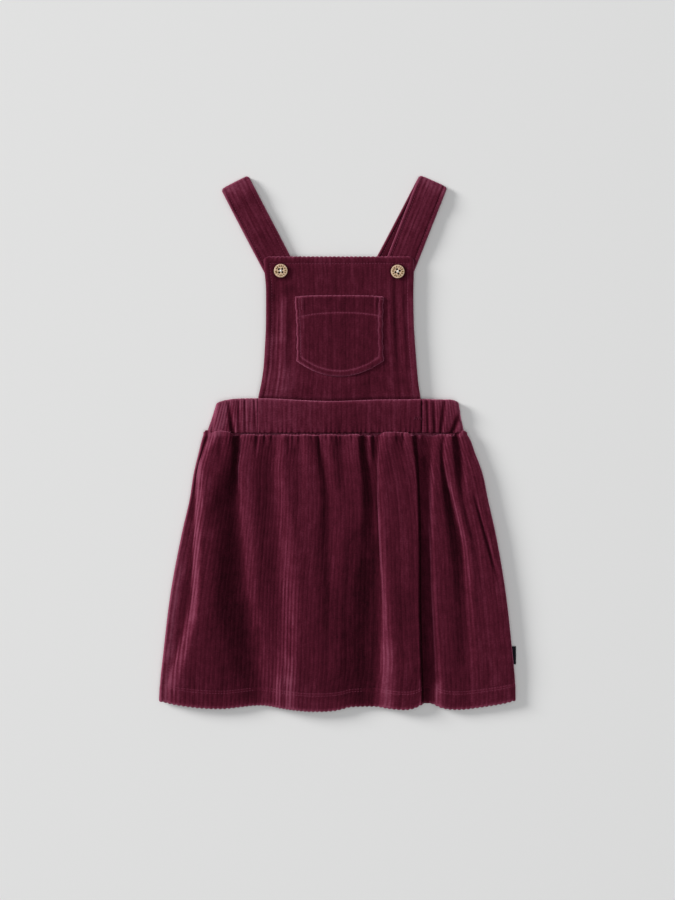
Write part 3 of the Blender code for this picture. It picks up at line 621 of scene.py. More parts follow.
# Ridges and valleys of the front, from the left side seam to the right one. Each line of the
# cloth is given by its squares across the draft and its height, in seven rows of the draft.
FOLD_ROWS = (434, 450, 470, 500, 545, 605, 690)
FOLD_LINES = (
    # name, squares across, heights
    ("side strip", (205.2, 201.2, 196, 190.8, 181.6, 171.4, 161.4), (8, 7.4, 6.8, 6.6, 6.8, 7.2, 8)),
    ("side crease", (208.6, 203, 197, 194.8, 192.6, 188.6, 165.5), (7.4, 6.6, 6, 6, 6.2, 6.4, 7.4)),
    ("side flank", (213, 206.8, 200.6, 199.6, 197, 194.4, 171.5), (10.2, 10, 10.2, 10.6, 10.8, 10.8, 9.8)),
    ("side ridge", (218.5, 211.5, 208, 205.6, 202, 199.4, 180), (12.6, 12.8, 13.4, 14, 14.3, 14.2, 12.4)),
    ("side slope", (231.5, 231.5, 230, 223, 217.5, 216, 236), (11.2, 11, 10.6, 9.8, 12.8, 12.8, 9.4)),
    ("side valley", (239.8, 238.4, 236.6, 238, 241.5, 247.5, 262), (5.6, 5.3, 5.1, 4.8, 4.8, 4.8, 4.9)),
    ("left flank", (243.4, 242, 240.6, 243.4, 248.2, 253.5, 267), (8, 8.2, 8.6, 7.4, 7.2, 6.3, 5.6)),
    ("left ridge", (253, 250, 248, 251, 255, 259.5, 272), (8.9, 9.1, 9.3, 9, 8.8, 7.5, 6.6)),
    ("left dip", (276.5, 275, 273, 275.5, 276.5, 279, 281.5), (6.6, 6.4, 6, 5.8, 6, 6.2, 10.2)),
    ("middle left ridge", (285.5, 284.5, 285, 289, 296, 300, 297),
     (9.4, 9.8, 10.2, 10.6, 11.2, 12.2, 14.4)),
    ("middle left dip", (299.5, 300.5, 301, 300.5, 307, 309, 305), (8.4, 8.4, 9.2, 10, 10.8, 11.8, 13.8)),
    ("middle ridge", (306.5, 307.5, 309.5, 308.5, 313, 316, 316), (9.8, 10.4, 10.6, 10.4, 10.6, 11.6, 13)),
    ("middle shoulder", (313.5, 316, 319, 320, 320, 321, 322), (9.2, 9.6, 9.9, 9.9, 10, 11.2, 12.6)),
    ("middle crease", (319, 321.6, 325.4, 328.8, 329.6, 330, 329), (8, 7.6, 7.6, 7.5, 7.9, 10.2, 11.8)),
    ("middle right ridge", (331, 331, 334.5, 340, 343, 341, 338), (9.4, 9, 9.1, 9, 9.2, 10.4, 11.4)),
    ("middle right dip", (342, 342.4, 343.6, 348, 349, 345.5, 343), (7.4, 6.9, 7.8, 8.8, 8.8, 9.6, 10.8)),
    ("valley shoulder", (358, 358, 359.6, 360.5, 359, 351, 347), (9.8, 10, 10, 9.6, 8.6, 8.8, 9.8)),
    ("pleat valley", (364.2, 366, 370, 374, 374.8, 374.5, 371), (5.4, 4.9, 4.8, 4.8, 4.8, 4.8, 4.8)),
    ("pleat foot", (377, 376.8, 376.8, 377.2, 379.2, 381.4, 378.4), (5.2, 4.9, 4.8, 4.8, 4.8, 4.8, 4.8)),
    ("pleat left edge", (385, 381.5, 379.8, 380, 381.4, 385.4, 386.2),
     (10.8, 10.8, 10.8, 11.2, 11.4, 11, 9.8)),
    ("pleat left ridge", (391, 388, 386, 387.5, 389.5, 392.5, 397), (12, 12, 12.2, 12.4, 13, 13.7, 14.3)),
    ("pleat middle", (403, 403, 402.5, 402.5, 403.5, 406, 411), (10.8, 11.2, 11.8, 12.2, 12.6, 13.2, 14)),
    ("pleat right ridge", (411, 413.2, 415.6, 417.4, 418.4, 418.6, 421),
     (11.8, 11.6, 11.9, 12.3, 12.6, 13.3, 14)),
    ("deep foot", (416.4, 417.6, 418.8, 420, 420.8, 421, 423.2), (5.4, 4.9, 4.8, 4.8, 4.8, 4.8, 4.8)),
    ("deep valley", (431, 430, 428.8, 428.4, 427, 430.4, 433), (4.9, 4.8, 4.8, 4.8, 4.8, 4.8, 4.8)),
    ("narrow ridge", (437.6, 436.4, 434.8, 434.4, 434.8, 437.2, 443.5), (7.6, 7.8, 8.4, 9, 8.9, 9, 10.6)),
    ("narrow slope", (441, 439, 439.4, 442.5, 447.5, 452, 453), (7.8, 7.9, 8.4, 8.8, 8.6, 8.7, 9.8)),
    ("over valley", (445, 442.6, 444.4, 451, 461.6, 466, 470), (7.4, 6.8, 6.2, 4.8, 4.8, 6.4, 8.8)),
    ("over ridge", (448.2, 446.6, 448, 456, 468.4, 475, 480), (9.8, 9.8, 10.4, 10.6, 10.4, 9, 9.6)),
    ("over shoulder", (450.6, 451.8, 453.4, 458.2, 471, 479, 486), (10.4, 10.8, 11, 10.7, 10.2, 9, 9.6)),
    ("end dip", (456.8, 459.6, 461.8, 463.6, 475, 484, 492), (6.4, 6, 7.2, 9.4, 9.4, 9, 9.4)),
    ("end ridge", (461.6, 465, 468.6, 470.5, 483, 492.5, 500), (9.8, 9.5, 9.5, 10, 10.2, 9.4, 9.6)),
    ("end edge", (467.2, 472.8, 479.9, 486.8, 496.5, 505.7, 514.2), (9.2, 9.4, 9.4, 9.6, 9.4, 9.2, 9)),
)

# Small gathers and creases of the front: squares across where each one starts and ends, its
# width and height (a crease is negative), and the rows of the draft it starts and ends at
GATHERS = (
    # starts, ends, width, height, from row, to row
    (249.6, 247.5, 4, -0.6, 433, 446), (257.6, 255.4, 4.6, -1.2, 433, 458),
    (265.6, 265, 4.4, -1.1, 433, 450), (270, 270, 4.4, 0.5, 433, 450),
    (289.6, 288, 4, -0.6, 433, 460), (293.6, 293, 3.6, -0.5, 433, 452),
    (303.6, 303.4, 4, 0.6, 433, 444), (311.5, 312.5, 4, -0.6, 433, 446),
    (318.2, 322, 3.2, -1, 433, 474), (326.6, 327.6, 3.4, -0.5, 433, 443),
    (336.6, 337, 4, -0.5, 433, 440), (351.8, 352, 4.2, -1, 433, 450),
    (370, 371.5, 6.4, 2.6, 433, 472), (388.6, 387, 4.2, -0.4, 433, 452),
    (395, 395, 4.2, 0.5, 433, 446), (403.4, 403, 5, -0.5, 433, 470),
    (420.6, 420, 5.4, 1.1, 433, 447), (427.8, 427, 3, -0.4, 433, 458),
    (462.5, 470, 4.6, -0.8, 436, 478), (474, 498.5, 4.6, -1.6, 494, 584),
    (222, 221, 8, -0.8, 434, 474), (229, 229, 4, 0.5, 433, 446),
    (203.4, 203, 3, 0.7, 462, 512), (281, 280.6, 8, 1.5, 656, 724),
)
PUCKER_STEP = 5.6
PUCKER_WIDTH = 4.2
PUCKER_HEIGHT = 0.42

# Strokes of painted light and shade on the front, on the draft: where each one starts and ends,
# its half width and how much brighter the pile is painted there (negative is painted shade)
FRONT_PAINTED_LIGHT = (
    # across, down, to across, to down, half width, shade
    (198.6, 462, 197, 540, 2.4, 0.5), (203.4, 470, 202.4, 512, 1.6, 0.25),
    (197.2, 540, 194, 622, 3.6, 0.5), (186, 520, 174, 605, 6, 0.3),
    (174, 596, 167, 700, 6, 0.3), (208, 530, 207, 620, 6, 0.15),
    (287, 540, 290, 660, 7, 0.15), (248, 436, 250, 560, 7, 0.1),
    (192, 612, 173, 690, 6.5, 0.25), (214, 432, 207, 450, 3.6, 0.35),
    (240, 600, 248, 700, 13, -0.3), (430, 560, 431, 680, 3.5, -0.15),
    (350, 540, 350, 600, 8, -0.12), (335, 470, 338, 640, 6, -0.2),
    (378.8, 436, 378.6, 512, 2.8, -0.5), (379, 512, 379.4, 562, 2.6, -0.2),
    (219.5, 430, 219.5, 440, 4, 0.4), (199, 458, 198.6, 478, 2.6, 0.45),
    (425.4, 510, 425.4, 536, 2.6, 0.4), (356, 528, 356, 562, 6, -0.2),
    (336, 588, 336, 700, 9, -0.2), (407, 590, 407, 662, 7, -0.25),
    (290, 622, 290, 656, 5, -0.25), (288, 658, 288, 684, 7, 0.35),
    (257, 626, 257, 656, 5, -0.25), (182, 652, 176, 716, 6, 0.15),
    (167, 648, 164.4, 716, 3.4, 0.45), (181, 560, 168.4, 656, 3.6, 0.5),
    (311, 682, 311, 712, 12, 0.15), (419.8, 678, 420.6, 716, 1.7, 0.7),
    (437.4, 628, 437.4, 682, 3.2, -0.25), (472, 588, 474, 652, 6, -0.12),
    (418, 432, 418, 452, 6, 0.2), (211, 478, 211, 538, 5, 0.25),
    (288.6, 676, 289.4, 712, 5.4, 0.65), (277.6, 676, 277, 712, 3, 0.4),
    (383.6, 596, 387, 640, 3, 0.15), (388.4, 640, 386.6, 712, 5.6, 0.5),
    (365, 560, 362, 712, 9, -0.4), (424.6, 456, 424.6, 712, 4.6, -0.35),
    (448, 490, 454, 560, 4, -0.25), (438, 682, 438, 712, 3.6, 0.4),
    (325, 560, 326, 660, 8, -0.12), (375, 536, 374.4, 640, 3, -0.5),
    (374.4, 640, 370.5, 714, 3.2, -0.5), (424, 440, 425, 470, 4, -0.25),
    (434, 438, 434, 462, 3, -0.2), (446, 444, 447, 474, 2.5, -0.25),
    (354, 462, 356, 540, 8, -0.22), (427.5, 664, 428, 716, 6, -0.2),
    (220, 556, 222, 700, 12, -0.1),
)

# Strength of the front's ribs, in relief and in the painted highlights on their tips: an even ground, and
# strokes where they stand out
RIB_GROUND = 0.6
RIB_STROKES = (
    # across, down, to across, to down, half width, strength
    (280, 580, 280, 730, 34, 1), (270, 438, 275, 590, 40, 0.1),
    (184, 590, 178, 700, 17, 0.3), (200, 460, 195, 600, 8, 0.4),
    (204, 684, 204, 730, 45, 0.9),
)

# Upper edge of the front on the draft
TOP_LINE = (
    # across, down
    (203.7, 432.6), (206, 429.8), (209, 430.4), (211.8, 432.4), (214.5, 431.4),
    (218.5, 430.6), (225, 431), (230, 432), (235.5, 435.4), (241, 434.2),
    (252, 434), (257.5, 434.8), (265, 434.6), (281, 434), (297, 435),
    (305, 434.2), (315, 435.2), (326, 434), (342, 434.9), (355, 434),
    (363, 435.6), (375.8, 436), (378.5, 433.6), (383, 432.1), (390, 431.7),
    (401, 432), (407.5, 432.4), (411.5, 434.8), (420, 434.4), (431, 436),
    (434.8, 435.4), (439, 434), (449, 434.6), (452.4, 435.8), (455.4, 432.2),
    (460, 430.2), (464.5, 430.4), (467.5, 433.4),
)

# Hem of the front: place along X, then distance below the waist seam
HEM = (
    # x, below
    (-191.9, 287.5), (-178, 290.5), (-152, 294.3), (-126, 295.6), (-84, 292.2),
    (-51, 296.5), (-26, 298.6), (-3, 297.6), (16, 293.6), (38, 293.3),
    (56, 295.4), (72, 296.5), (82, 295), (96, 289.2), (114, 295.2),
    (130, 296.5), (157.5, 293.5), (183, 289), (191.2, 286.5),
)

# How the cloth rolls out of the waist seam: place along Y, share of the top line, height share
SEAM_ROLL = (
    # y, top, height
    (1.6, 0, 0), (0.25, 0.1, 0.1), (0.05, 0.55, 0.34),
    (0, 0.85, 0.55), (-0.05, 1, 0.7), (-0.25, 0.97, 0.82),
    (-0.65, 0.85, 0.91), (-1.3, 0.6, 0.97),
)

SIDE_FADE = 1.6
HEM_SETTLES = 0.48
# Painted highlight along the cloth's roll out of the waist seam
ROLL_PAINTED_HIGHLIGHT = 0.75
HEM_STITCH = 276.5
HEM_STITCH_GAP = 2.6
HEM_SHOWN = 6.1
SKIRT_RIBS = 83
SKIRT_RELIEF = 0.28
SKIRT_ROWS = np.concatenate((
    (2.4, 3.8, 5.4, 7.2, 9.4),
    np.arange(12, 84, 3),
    np.linspace(88, 264, 32),
    (268, 271, 273.2, 274.6, 275.6, 276.5, 277.2, 277.8, 278.4, 279.1, 280, 281.4),
    (284, 287, 290.5, 292.6, 293.8, 294.7, 295.2, SKIRT_LENGTH),
))

# How much closer the cloth lies at the left: at the waist and at the hem, on the draft there,
# and how far that reaches
BUNCHED = (0.16, 0.34)
BUNCHED_AT = (266, 280)
BUNCHED_WIDTH = 32

# Back of the skirt
RIPPLE_COUNT = 11
RIPPLE_WIDTH = 11
BACK_RIBS = 80
BACK_ROWS = np.concatenate((
    np.linspace(0, 40, 12), np.linspace(46, 268, 22),
    (271, 273.5, 275.5, 278, 284, 290, 293.5, 295, SKIRT_LENGTH),
))


def skirt_edge(below):
    """Left and right edge of the skirt at a distance below the waist seam."""
    return curve(SKIRT_EDGES, below)


def gather_heights(x, row):
    """Height that the small gathers and creases add to the front in a row of the draft."""
    height = np.zeros_like(x)
    for starts, ends, width, tall, first, last in GATHERS:
        share = (row - first) / (last - first)
        if not 0 <= share < 1:
            continue
        fade = 1 - smooth(share) if first < 436 else math.sin(math.pi * share) ** 0.7
        middle = across_draft(starts + (ends - starts) * share)
        height += tall * hump(x - middle, 1.3 * width * SQUARE) * fade
    below = (row - DRAFT_SEAM) * SQUARE
    if below < 22:
        draw = np.random.default_rng(70)
        for middle in np.arange(-138, 138, PUCKER_STEP):
            reach = draw.uniform(8, 20)
            middle += draw.uniform(-1.6, 1.6) + draw.uniform(-0.2, 0.2) * below
            tall = PUCKER_HEIGHT * draw.uniform(-1.2, 1.2)
            height += tall * hump(x - middle, PUCKER_WIDTH) * (1 - smooth(below / reach))
    return height


def front_height(x, below):
    """Height of the front's cloth above the surface, without its ribs."""
    left, right = skirt_edge(below)
    row = DRAFT_SEAM + below / SQUARE
    places = [across_draft(glide(FOLD_ROWS, line[1], row)) for line in FOLD_LINES]
    heights = [glide(FOLD_ROWS, line[2], row) for line in FOLD_LINES]
    folds = glide([left] + places + [right], [FRONT_VALLEY] + heights + [FRONT_VALLEY], x)
    fade = smooth(within(x, (left, right)) / SIDE_FADE)
    sway = 0.2 * np.sin(0.11 * x + 0.021 * below) * np.sin(0.043 * below + 0.05 * x + 1)
    raised = folds - FRONT_VALLEY + (gather_heights(x, row) + sway) * fade
    settled = 1 - HEM_SETTLES * smooth((below - 245) / 50)
    return FRONT_VALLEY + np.maximum(raised, 0) * settled


def bunched(x, below):
    """How closely the front's cloth lies: closer at the left, and most at the hem."""
    share = below / SKIRT_LENGTH
    middle, closer = (ends[0] + (ends[1] - ends[0]) * share for ends in (BUNCHED_AT, BUNCHED))
    return 1 + closer * bell(x - across_draft(middle), BUNCHED_WIDTH)


def front_section(below, shares):
    """X, height and slope of the points at those shares of the cloth's width."""
    fine = np.linspace(*skirt_edge(below), 2000)
    height = front_height(fine, below)
    steps = np.hypot(np.diff(fine), 1.1 * np.diff(height)) * bunched(fine[1:], below)
    length = np.concatenate(([0], np.cumsum(steps)))
    x = np.interp(shares * length[-1], length, fine)
    slope = np.interp(x, fine, np.gradient(height, fine))
    return x, np.interp(x, fine, height), slope


def surroundings(height, reach):
    """Mean height of the cloth within some columns on both sides."""
    window = np.hanning(2 * reach + 1)
    window /= window.sum()
    padded = np.pad(height, ((0, 0), (reach, reach)), mode="edge")
    return np.array([np.convolve(row, window, mode="valid") for row in padded])


def roll_front(grids, shares, wale, side_drop, seam_y):
    """Rows of the front where its cloth rolls out of the waist seam; their distance inside."""
    plain, face, back = grids
    x, z, _slope = front_section(SKIRT_ROWS[0], shares)
    top = (DRAFT_SEAM - curve(TOP_LINE, x / SQUARE + DRAFT_MIDDLE)) * SQUARE
    low = FRONT_VALLEY + 0.2
    for row, (start, share, tall) in enumerate(SEAM_ROLL):
        level = low + (z - low) * tall - side_drop
        rib = SKIRT_RELIEF * wale * smooth(row / (len(SEAM_ROLL) - 1))
        for grid, out in ((plain, 0), (face, rib)):
            y = seam_y + start + top * share + 0.7 * out * (tall > 0.5)
            lay(grid[row], x, y, level + 0.7 * out)
        lay(back[row], x, seam_y + 1.4 - 0.4 * row, np.maximum(level - 1.4 * tall, FRONT_INSIDE))
    return within(x, skirt_edge(SKIRT_ROWS[0]))


def sew_hem(face):
    """Two rows of stitches along the hem, where its folds show them."""
    strands = []
    for below in (HEM_STITCH, HEM_STITCH + HEM_STITCH_GAP):
        line = face[nearest(SKIRT_ROWS, below)]
        strands += [strand for strand in stitches(line[8:-8]) if strand[1][2] > HEM_SHOWN]
    thread("hem_stitching", strands, 0.32)


def skirt_front():
    """Front of the skirt: folds, gathers and ribs, its roll at the seam and its stitched hem."""
    width = SKIRT_RIBS * RIB_PITCH
    across, wale, side = ribbed(width, SKIRT_RIBS)
    shares = across / width
    side_drop = rolled(side, 1)
    rolls = len(SEAM_ROLL)
    plain, face, back = new_grids(rolls + len(SKIRT_ROWS), len(across))
    stretch = curve(HEM, front_section(SKIRT_LENGTH, shares)[0]) / SKIRT_LENGTH
    seam_y = WAIST_SEAM - SEAM
    near = np.empty(plain.shape[:2])
    near[:rolls] = roll_front((plain, face, back), shares, wale, side_drop, seam_y)
    sewn = np.zeros(plain.shape[:2])
    for row, below in enumerate(SKIRT_ROWS, start=rolls):
        x, z, slope = front_section(below, shares)
        y = seam_y - below * stretch
        near[row] = np.minimum(within(x, skirt_edge(below)), 0.7 * (SKIRT_LENGTH - below))
        lean = np.sqrt(1 + slope ** 2)
        past = below - HEM_STITCH
        stitch = (bell(past, 0.7) + bell(past - HEM_STITCH_GAP, 0.7)) * puckered(across)
        stands = 0.85 + 0.4 * strokes(x, y, RIB_STROKES)
        rib = SKIRT_RELIEF * wale * stands * (1 - 0.6 * stitch)
        drop = rolled(SKIRT_LENGTH - below, 0.5) + side_drop
        scallop = 1.6 * (wale - 0.6) * smooth((below - 291) / 4)
        inside = np.maximum(z - np.minimum(WALL * lean, 2 * WALL), FRONT_INSIDE)
        base = 0.25 * smooth(past / 2.5) + RIB_TOP - SKIRT_RELIEF
        for grid, shown, lift in ((plain, 0, base), (face, 1, base + rib - 0.3 * stitch)):
            lay(grid[row], x - slope / lean * lift, y - scallop * shown,
                np.maximum(z + lift / lean - drop, inside + 0.15))
        lay(back[row], x, y, inside)
        sewn[row] = stitch * (0.5 + 0.5 * smooth((x + 120) / 80))
    deep = (surroundings(plain[..., 2], 20) - plain[..., 2]) / 4
    along = np.abs(seam_y - plain[:, len(across) // 2, 1])
    # Painted highlight along the roll out of the seam, kept out of deep folds; rows round 175 mm below the
    # seam are a little darker
    painted_light = ROLL_PAINTED_HIGHLIGHT * bell(along, 2.4)[:, None] * (1 - smooth(1.8 * deep))
    dim = 0.08 * bell(along - 175, 70)[:, None] - 0.04
    x, y = plain[..., 0], plain[..., 1]
    cloth = (across, along, RIB_PITCH, SEEDS["skirt_front"])
    painted_light_and_tone = paint_light_and_shade(plain, -1, wale, deep=deep, inset=near, rim=0.85,
                  ribs=RIB_GROUND * worn(*cloth) + strokes(x, y, RIB_STROKES),
                  sewn=-2.8 * sewn * (1 - smooth(2.4 * deep)),
                  extra=streaks(*cloth) - dim + strokes(x, y, FRONT_PAINTED_LIGHT) + painted_light)
    piece = shell("skirt_front", face, back, across, painted_light_and_tone)
    sew_hem(face[rolls:])


def ripple(x, below, left, right):
    """Height of the back's underside: soft ripples that run down from the waist."""
    height = np.zeros_like(x)
    for number in range(RIPPLE_COUNT):
        share = (number + 0.5 + 0.28 * math.sin(2.3 * number)) / RIPPLE_COUNT
        centre = left + share * (right - left)
        reach = 150 + 80 * math.sin(1.7 * number + 0.6)
        width = RIPPLE_WIDTH * (1 + 0.25 * math.sin(3.1 * number))
        height += BACK_RIPPLE * hump(x - centre, width) * (1 - smooth(below / reach))
    return height


def skirt_back():
    """Back of the skirt, face down on the surface."""
    width = BACK_RIBS * RIB_PITCH
    across, wale, side = ribbed(width, BACK_RIBS)
    _plain, face, back = new_grids(len(BACK_ROWS), len(across))
    for row, below in enumerate(BACK_ROWS):
        left, right = skirt_edge(below)
        x = left + (right - left) * across / width
        stretch = (SKIRT_LENGTH - 5 - 3 * np.abs(x / 191) ** 6) / SKIRT_LENGTH
        y = WAIST_SEAM - SEAM - below * stretch
        lift = ripple(x, below, left, right)
        lay(face[row], x, y, lift + 0.35 * (1 - wale) + 0.35 * bell(below - HEM_STITCH, 1.5)
            + 0.6 * np.exp(-side / 0.8))
        lay(back[row], x, y, lift + WALL)
    painted_light_and_tone = paint_light_and_shade(face, 1, wale, ribs=0.5, inset=side,
                  extra=streaks(across, BACK_ROWS, RIB_PITCH, SEEDS["skirt_back"]))
    piece = shell("skirt_back", face, back, across, painted_light_and_tone)


# ---------------------------------------------------------------- waistband

FRONT_LEFT = -85.5
FRONT_RIGHT = 90.3
BAND_LEFT = -138.6
BAND_RIGHT = 136
BAND_RELIEF = 0.3
BAND_RIBS = 33
BAND_TALL = 36

# Top edge of the waistband: place along X, then Y
BAND_TOP = (
    # x, y
    (-139, 40.4), (-136, 43.2), (-132, 44.7), (-124, 46.2), (-110.6, 47.2),
    (-85.5, 47.6), (-9, 44.6), (43.3, 46.2), (77, 46.5), (92, 46.9),
    (113.4, 46.3), (124, 46.3), (130, 45.7), (134, 43.9), (136.2, 40.6),
)

# Creases of the gathered band where it shows at the front, on the draft: squares across at the
# band's top and foot, width, then depth at its top and foot
BAND_CREASES = (
    # top, foot, width, depth at the top, depth at the foot
    (217.2, 211.6, 2.8, 1.3, 1.3), (229, 233.4, 4.6, 0.7, 2.3),
    (239, 240, 3, 0.6, 0.7), (245.6, 246.4, 2.8, 0.8, 0.6),
    (250.4, 249.6, 2.4, 0.2, 0.5), (254.6, 256.6, 2.6, 0.7, 0.3),
    (421.8, 421.4, 3, 0.6, 0.5), (427.2, 428.6, 3, 0.8, 1),
    (434, 435.8, 4.4, 0.7, 1.1), (445.6, 441.2, 4.4, 0.7, 1.4),
    (466, 452.6, 4.8, 0.6, 2.1),
)

# Painted light and shade on the band: place along X, then the shade
BAND_LIGHT = (
    # x, shade
    (-140, 0.75), (-134, 0.55), (-129, 0.75), (-123, 0.6), (-117, 0.25),
    (-106, 0.3), (-94, 0.6), (-80, 0.42), (-50, 0.27), (-20, 0.08),
    (10, -0.1), (60, 0), (90, 0.06), (122, 0.14), (136, 0.5),
)

# The gathered sleeve: its ribs and columns, how far its left and right sides draw in at the top
# and flare at the foot, how far in its left side falls, and how square its section is
SLEEVE_PITCH = 3.6
SLEEVE_COLUMNS = 620
BAND_TUCK = (8.4, 6.3)
BAND_FLARE = (1.8, -0.4)
BAND_SIDE_FALL = 12
BAND_CORNER = 0.72
BAND_SHARES = np.array((0, 0.008, 0.025, 0.055, 0.1, 0.15, 0.21, 0.28, 0.35, 0.42, 0.49,
                        0.56, 0.63, 0.7, 0.77, 0.84, 0.9, 0.945, 0.975, 0.992, 1))


def band_top(x):
    """Y of the waistband's top edge."""
    return curve(BAND_TOP, x)


def band_light(x, below_top):
    """Painted light and shade on the band: brightest at the left, toward the key light, with a painted
    highlight along its upper edge.
    """
    return curve(BAND_LIGHT, x) + 0.14 * bell(below_top, 9)


def waistband_front():
    """Flat middle panel of the waistband."""
    width = FRONT_RIGHT - FRONT_LEFT - 0.2
    across, wale, _side = ribbed(width, BAND_RIBS)
    x = FRONT_LEFT + 0.1 + across
    tall = band_top(x) - WAIST_SEAM
    plain, face, back = new_grids(len(BAND_SHARES), len(x))
    for row, share in enumerate(BAND_SHARES):
        y = WAIST_SEAM + share * tall
        inset = min(share, 1 - share) * tall
        drop = rolled(inset, 1.2 if share < 0.5 else 2.2)
        drop += rolled(across, 0.2) + rolled(width - across, 1.2)
        pull = np.exp(-share * tall / 4) * np.sin(1.1 * across + 2 * np.sin(0.23 * across))
        puff = 0.35 * np.sin(math.pi * share) + 0.25 * bell((1 - share) * tall - 4, 2.5)
        level = BAND_FRONT_HIGH + RIB_TOP - BAND_RELIEF - drop + puff + 0.3 * pull
        rib = BAND_RELIEF * wale * smooth(inset / 2)
        for grid, out in ((plain, 0), (face, rib)):
            lay(grid[row], x, y + 0.9 * (out - 0.2) * smooth((share - 0.9) / 0.1), level + out)
        lay(back[row], x, y, BAND_FRONT_LOW + 0.2)
    along = BAND_SHARES * BAND_TALL
    below_top = (BAND_TALL - along)[:, None]
    cloth = (across, along, width / BAND_RIBS, SEEDS["waistband_front"])
    painted_light_and_tone = paint_light_and_shade(plain, 1, wale, ribs=0.65 * worn(*cloth), inset=below_top,
                  extra=band_light(x, below_top) + streaks(*cloth))
    piece = shell("waistband_front", face, back, across, painted_light_and_tone)


def band_path(columns):
    """Middle line of the sleeve: front left, round the side, back, and front right."""
    low = 0.5 * BAND_BACK_HEIGHT
    turn = 0.5 * (0.5 * (BAND_FRONT_LOW + BAND_FRONT_HIGH) - low)
    left = BAND_LEFT + low + turn
    right = BAND_RIGHT - low - turn
    corner = math.pi * turn
    ends = np.cumsum((FRONT_LEFT - 0.1 - left, corner, right - left, corner,
                      right - FRONT_RIGHT - 0.1))
    run = np.linspace(0, ends[-1], columns + 1)
    turned = sum(np.clip((run - start) / turn, 0, math.pi) for start in (ends[0], ends[2]))
    swing = turn * np.abs(np.sin(turned)) ** 0.7
    x = np.select([run < end for end in ends[:4]],
                  [FRONT_LEFT - 0.1 - run, left - swing, left + run - ends[1], right + swing],
                  right - run + ends[3])
    return run, x, low + turn + turn * np.cos(turned), turned


def sleeve_crease(x, share, upper):
    """Depth of the elastic's gathers: the shown creases at the front, even ones at the back."""
    wander = 1.6 * np.sin(0.21 * x[0]) + 1.1 * np.sin(0.47 * x[0] + 1.3)
    lean = 3 * (share - 0.5) * np.sin(0.13 * x[0] + 0.4)
    wave = np.cos((x[0] + wander + lean) * 2 * math.pi / 8.2)
    depths = np.where(upper, 0, np.maximum(wave, 0) ** 2)
    for top, foot, width, depth_top, depth_foot in BAND_CREASES:
        depth = depth_foot + (depth_top - depth_foot) * share
        middle = across_draft(foot + (top - foot) * share)
        depths += np.where(upper, depth * hump(x[1] - middle, 1.7 * width * SQUARE), 0)
    return np.minimum(depths, 3)


def waistband_back():
    """Elastic sleeve: the back of the waistband, and both its sides where they show in front."""
    run, x, z, turned = band_path(SLEEVE_COLUMNS)
    out_x, out_z = (np.sign(way) * np.abs(way) ** BAND_CORNER
                    for way in (-np.sin(turned), np.cos(turned)))
    half = 0.5 * BAND_BACK_HEIGHT
    shown = np.maximum(out_z, 0)
    upper = out_z > -0.2
    wale = wales(run, SLEEVE_PITCH)
    end = within(run, (0, run[-1]))
    tuck = np.where(x < 0, *BAND_TUCK)
    flare = np.where(x < 0, *BAND_FLARE)
    tall = band_top(x) - WAIST_SEAM
    plain, face, back = new_grids(len(BAND_SHARES), len(run))
    deep = np.empty(plain.shape[:2])
    for row, share in enumerate(BAND_SHARES):
        y = WAIST_SEAM + share * tall
        inset = min(share, 1 - share) * tall
        narrow = x - np.sign(x) * (tuck * share - flare * (1 - share)) * smooth(
            (np.abs(x) - 95) / 40)
        crease = sleeve_crease((x, narrow), share, upper)
        puff = 0.9 * math.sin(math.pi * min(1, share + 0.15)) * smooth(end / 12)
        fall = 1.3 * (1 - smooth((narrow - BAND_LEFT - 2) / BAND_SIDE_FALL))
        reach = half - crease * (0.6 + 0.4 * smooth(inset / 4)) + (puff - fall) * shown
        reach -= rolled(inset, 1.3) + rolled(end, 0.2) + 0.35 * smooth(-out_z)
        rib = 0.35 * wale * smooth(inset / 2)
        for grid, out in ((plain, reach), (face, reach + rib)):
            lay(grid[row], narrow + out * out_x, y - 0.5 * crease * (share > 0.97),
                z + out * out_z)
        lay(back[row], narrow + (0.5 - half) * out_x, y, z + (0.5 - half) * out_z)
        deep[row] = crease / 3
    along = BAND_SHARES * BAND_TALL
    below_top = (BAND_TALL - along)[:, None]
    lit = np.where(upper, band_light(x, below_top) + 0.18 * bell(below_top, 7), 0)
    cloth = (run, along, SLEEVE_PITCH, SEEDS["waistband_back"])
    painted_light_and_tone = paint_light_and_shade(plain, -1, wale, ribs=1.3 * worn(*cloth), deep=deep, rim=0.6,
                  inset=np.minimum(below_top, within(x, (x.min(), x.max()))),
                  extra=0.06 + lit + streaks(*cloth))
    piece = shell("waistband_back", face, back, run, painted_light_and_tone)


# ---------------------------------------------------------------- bib and pocket

BUTTON_RADIUS = 7.2
BUTTONS = (
    # side, x, y, turned by
    ("left", -60.9, 184.3, 4),
    ("right", 64.6, 183.5, -25),
)

# Left and right edge of the bib, from the waistband up
BIB_EDGES = (
    # y, left, right
    (46, -85.4, 89.6), (62, -82.2, 87.1), (80, -79.6, 85.4),
    (101, -78.2, 83.8), (125, -77, 82.2), (160, -76.8, 81.6),
    (190, -79, 82.2), (197, -79.6, 82),
)

BIB_CORNER = 5
BIB_RIBS = 33
BIB_RELIEF = 0.18
BIB_SIDE_DROOP = 0.1
BIB_SIDE_STITCH = 6.2
BIB_TOP_STITCH = 7.4
BIB_RIBBED = -36
BIB_ROWS = np.concatenate((
    (44.6, 45.6, 46.4, 47.2, 48.2, 49.6, 51.5, 54), np.linspace(58, 186, 40),
    (188.5, 190, 191, 191.7, 192.3, 193, 194, 195.4, 197, 198.1, 198.8, 199.3),
    (199.52, BIB_TOP),
))

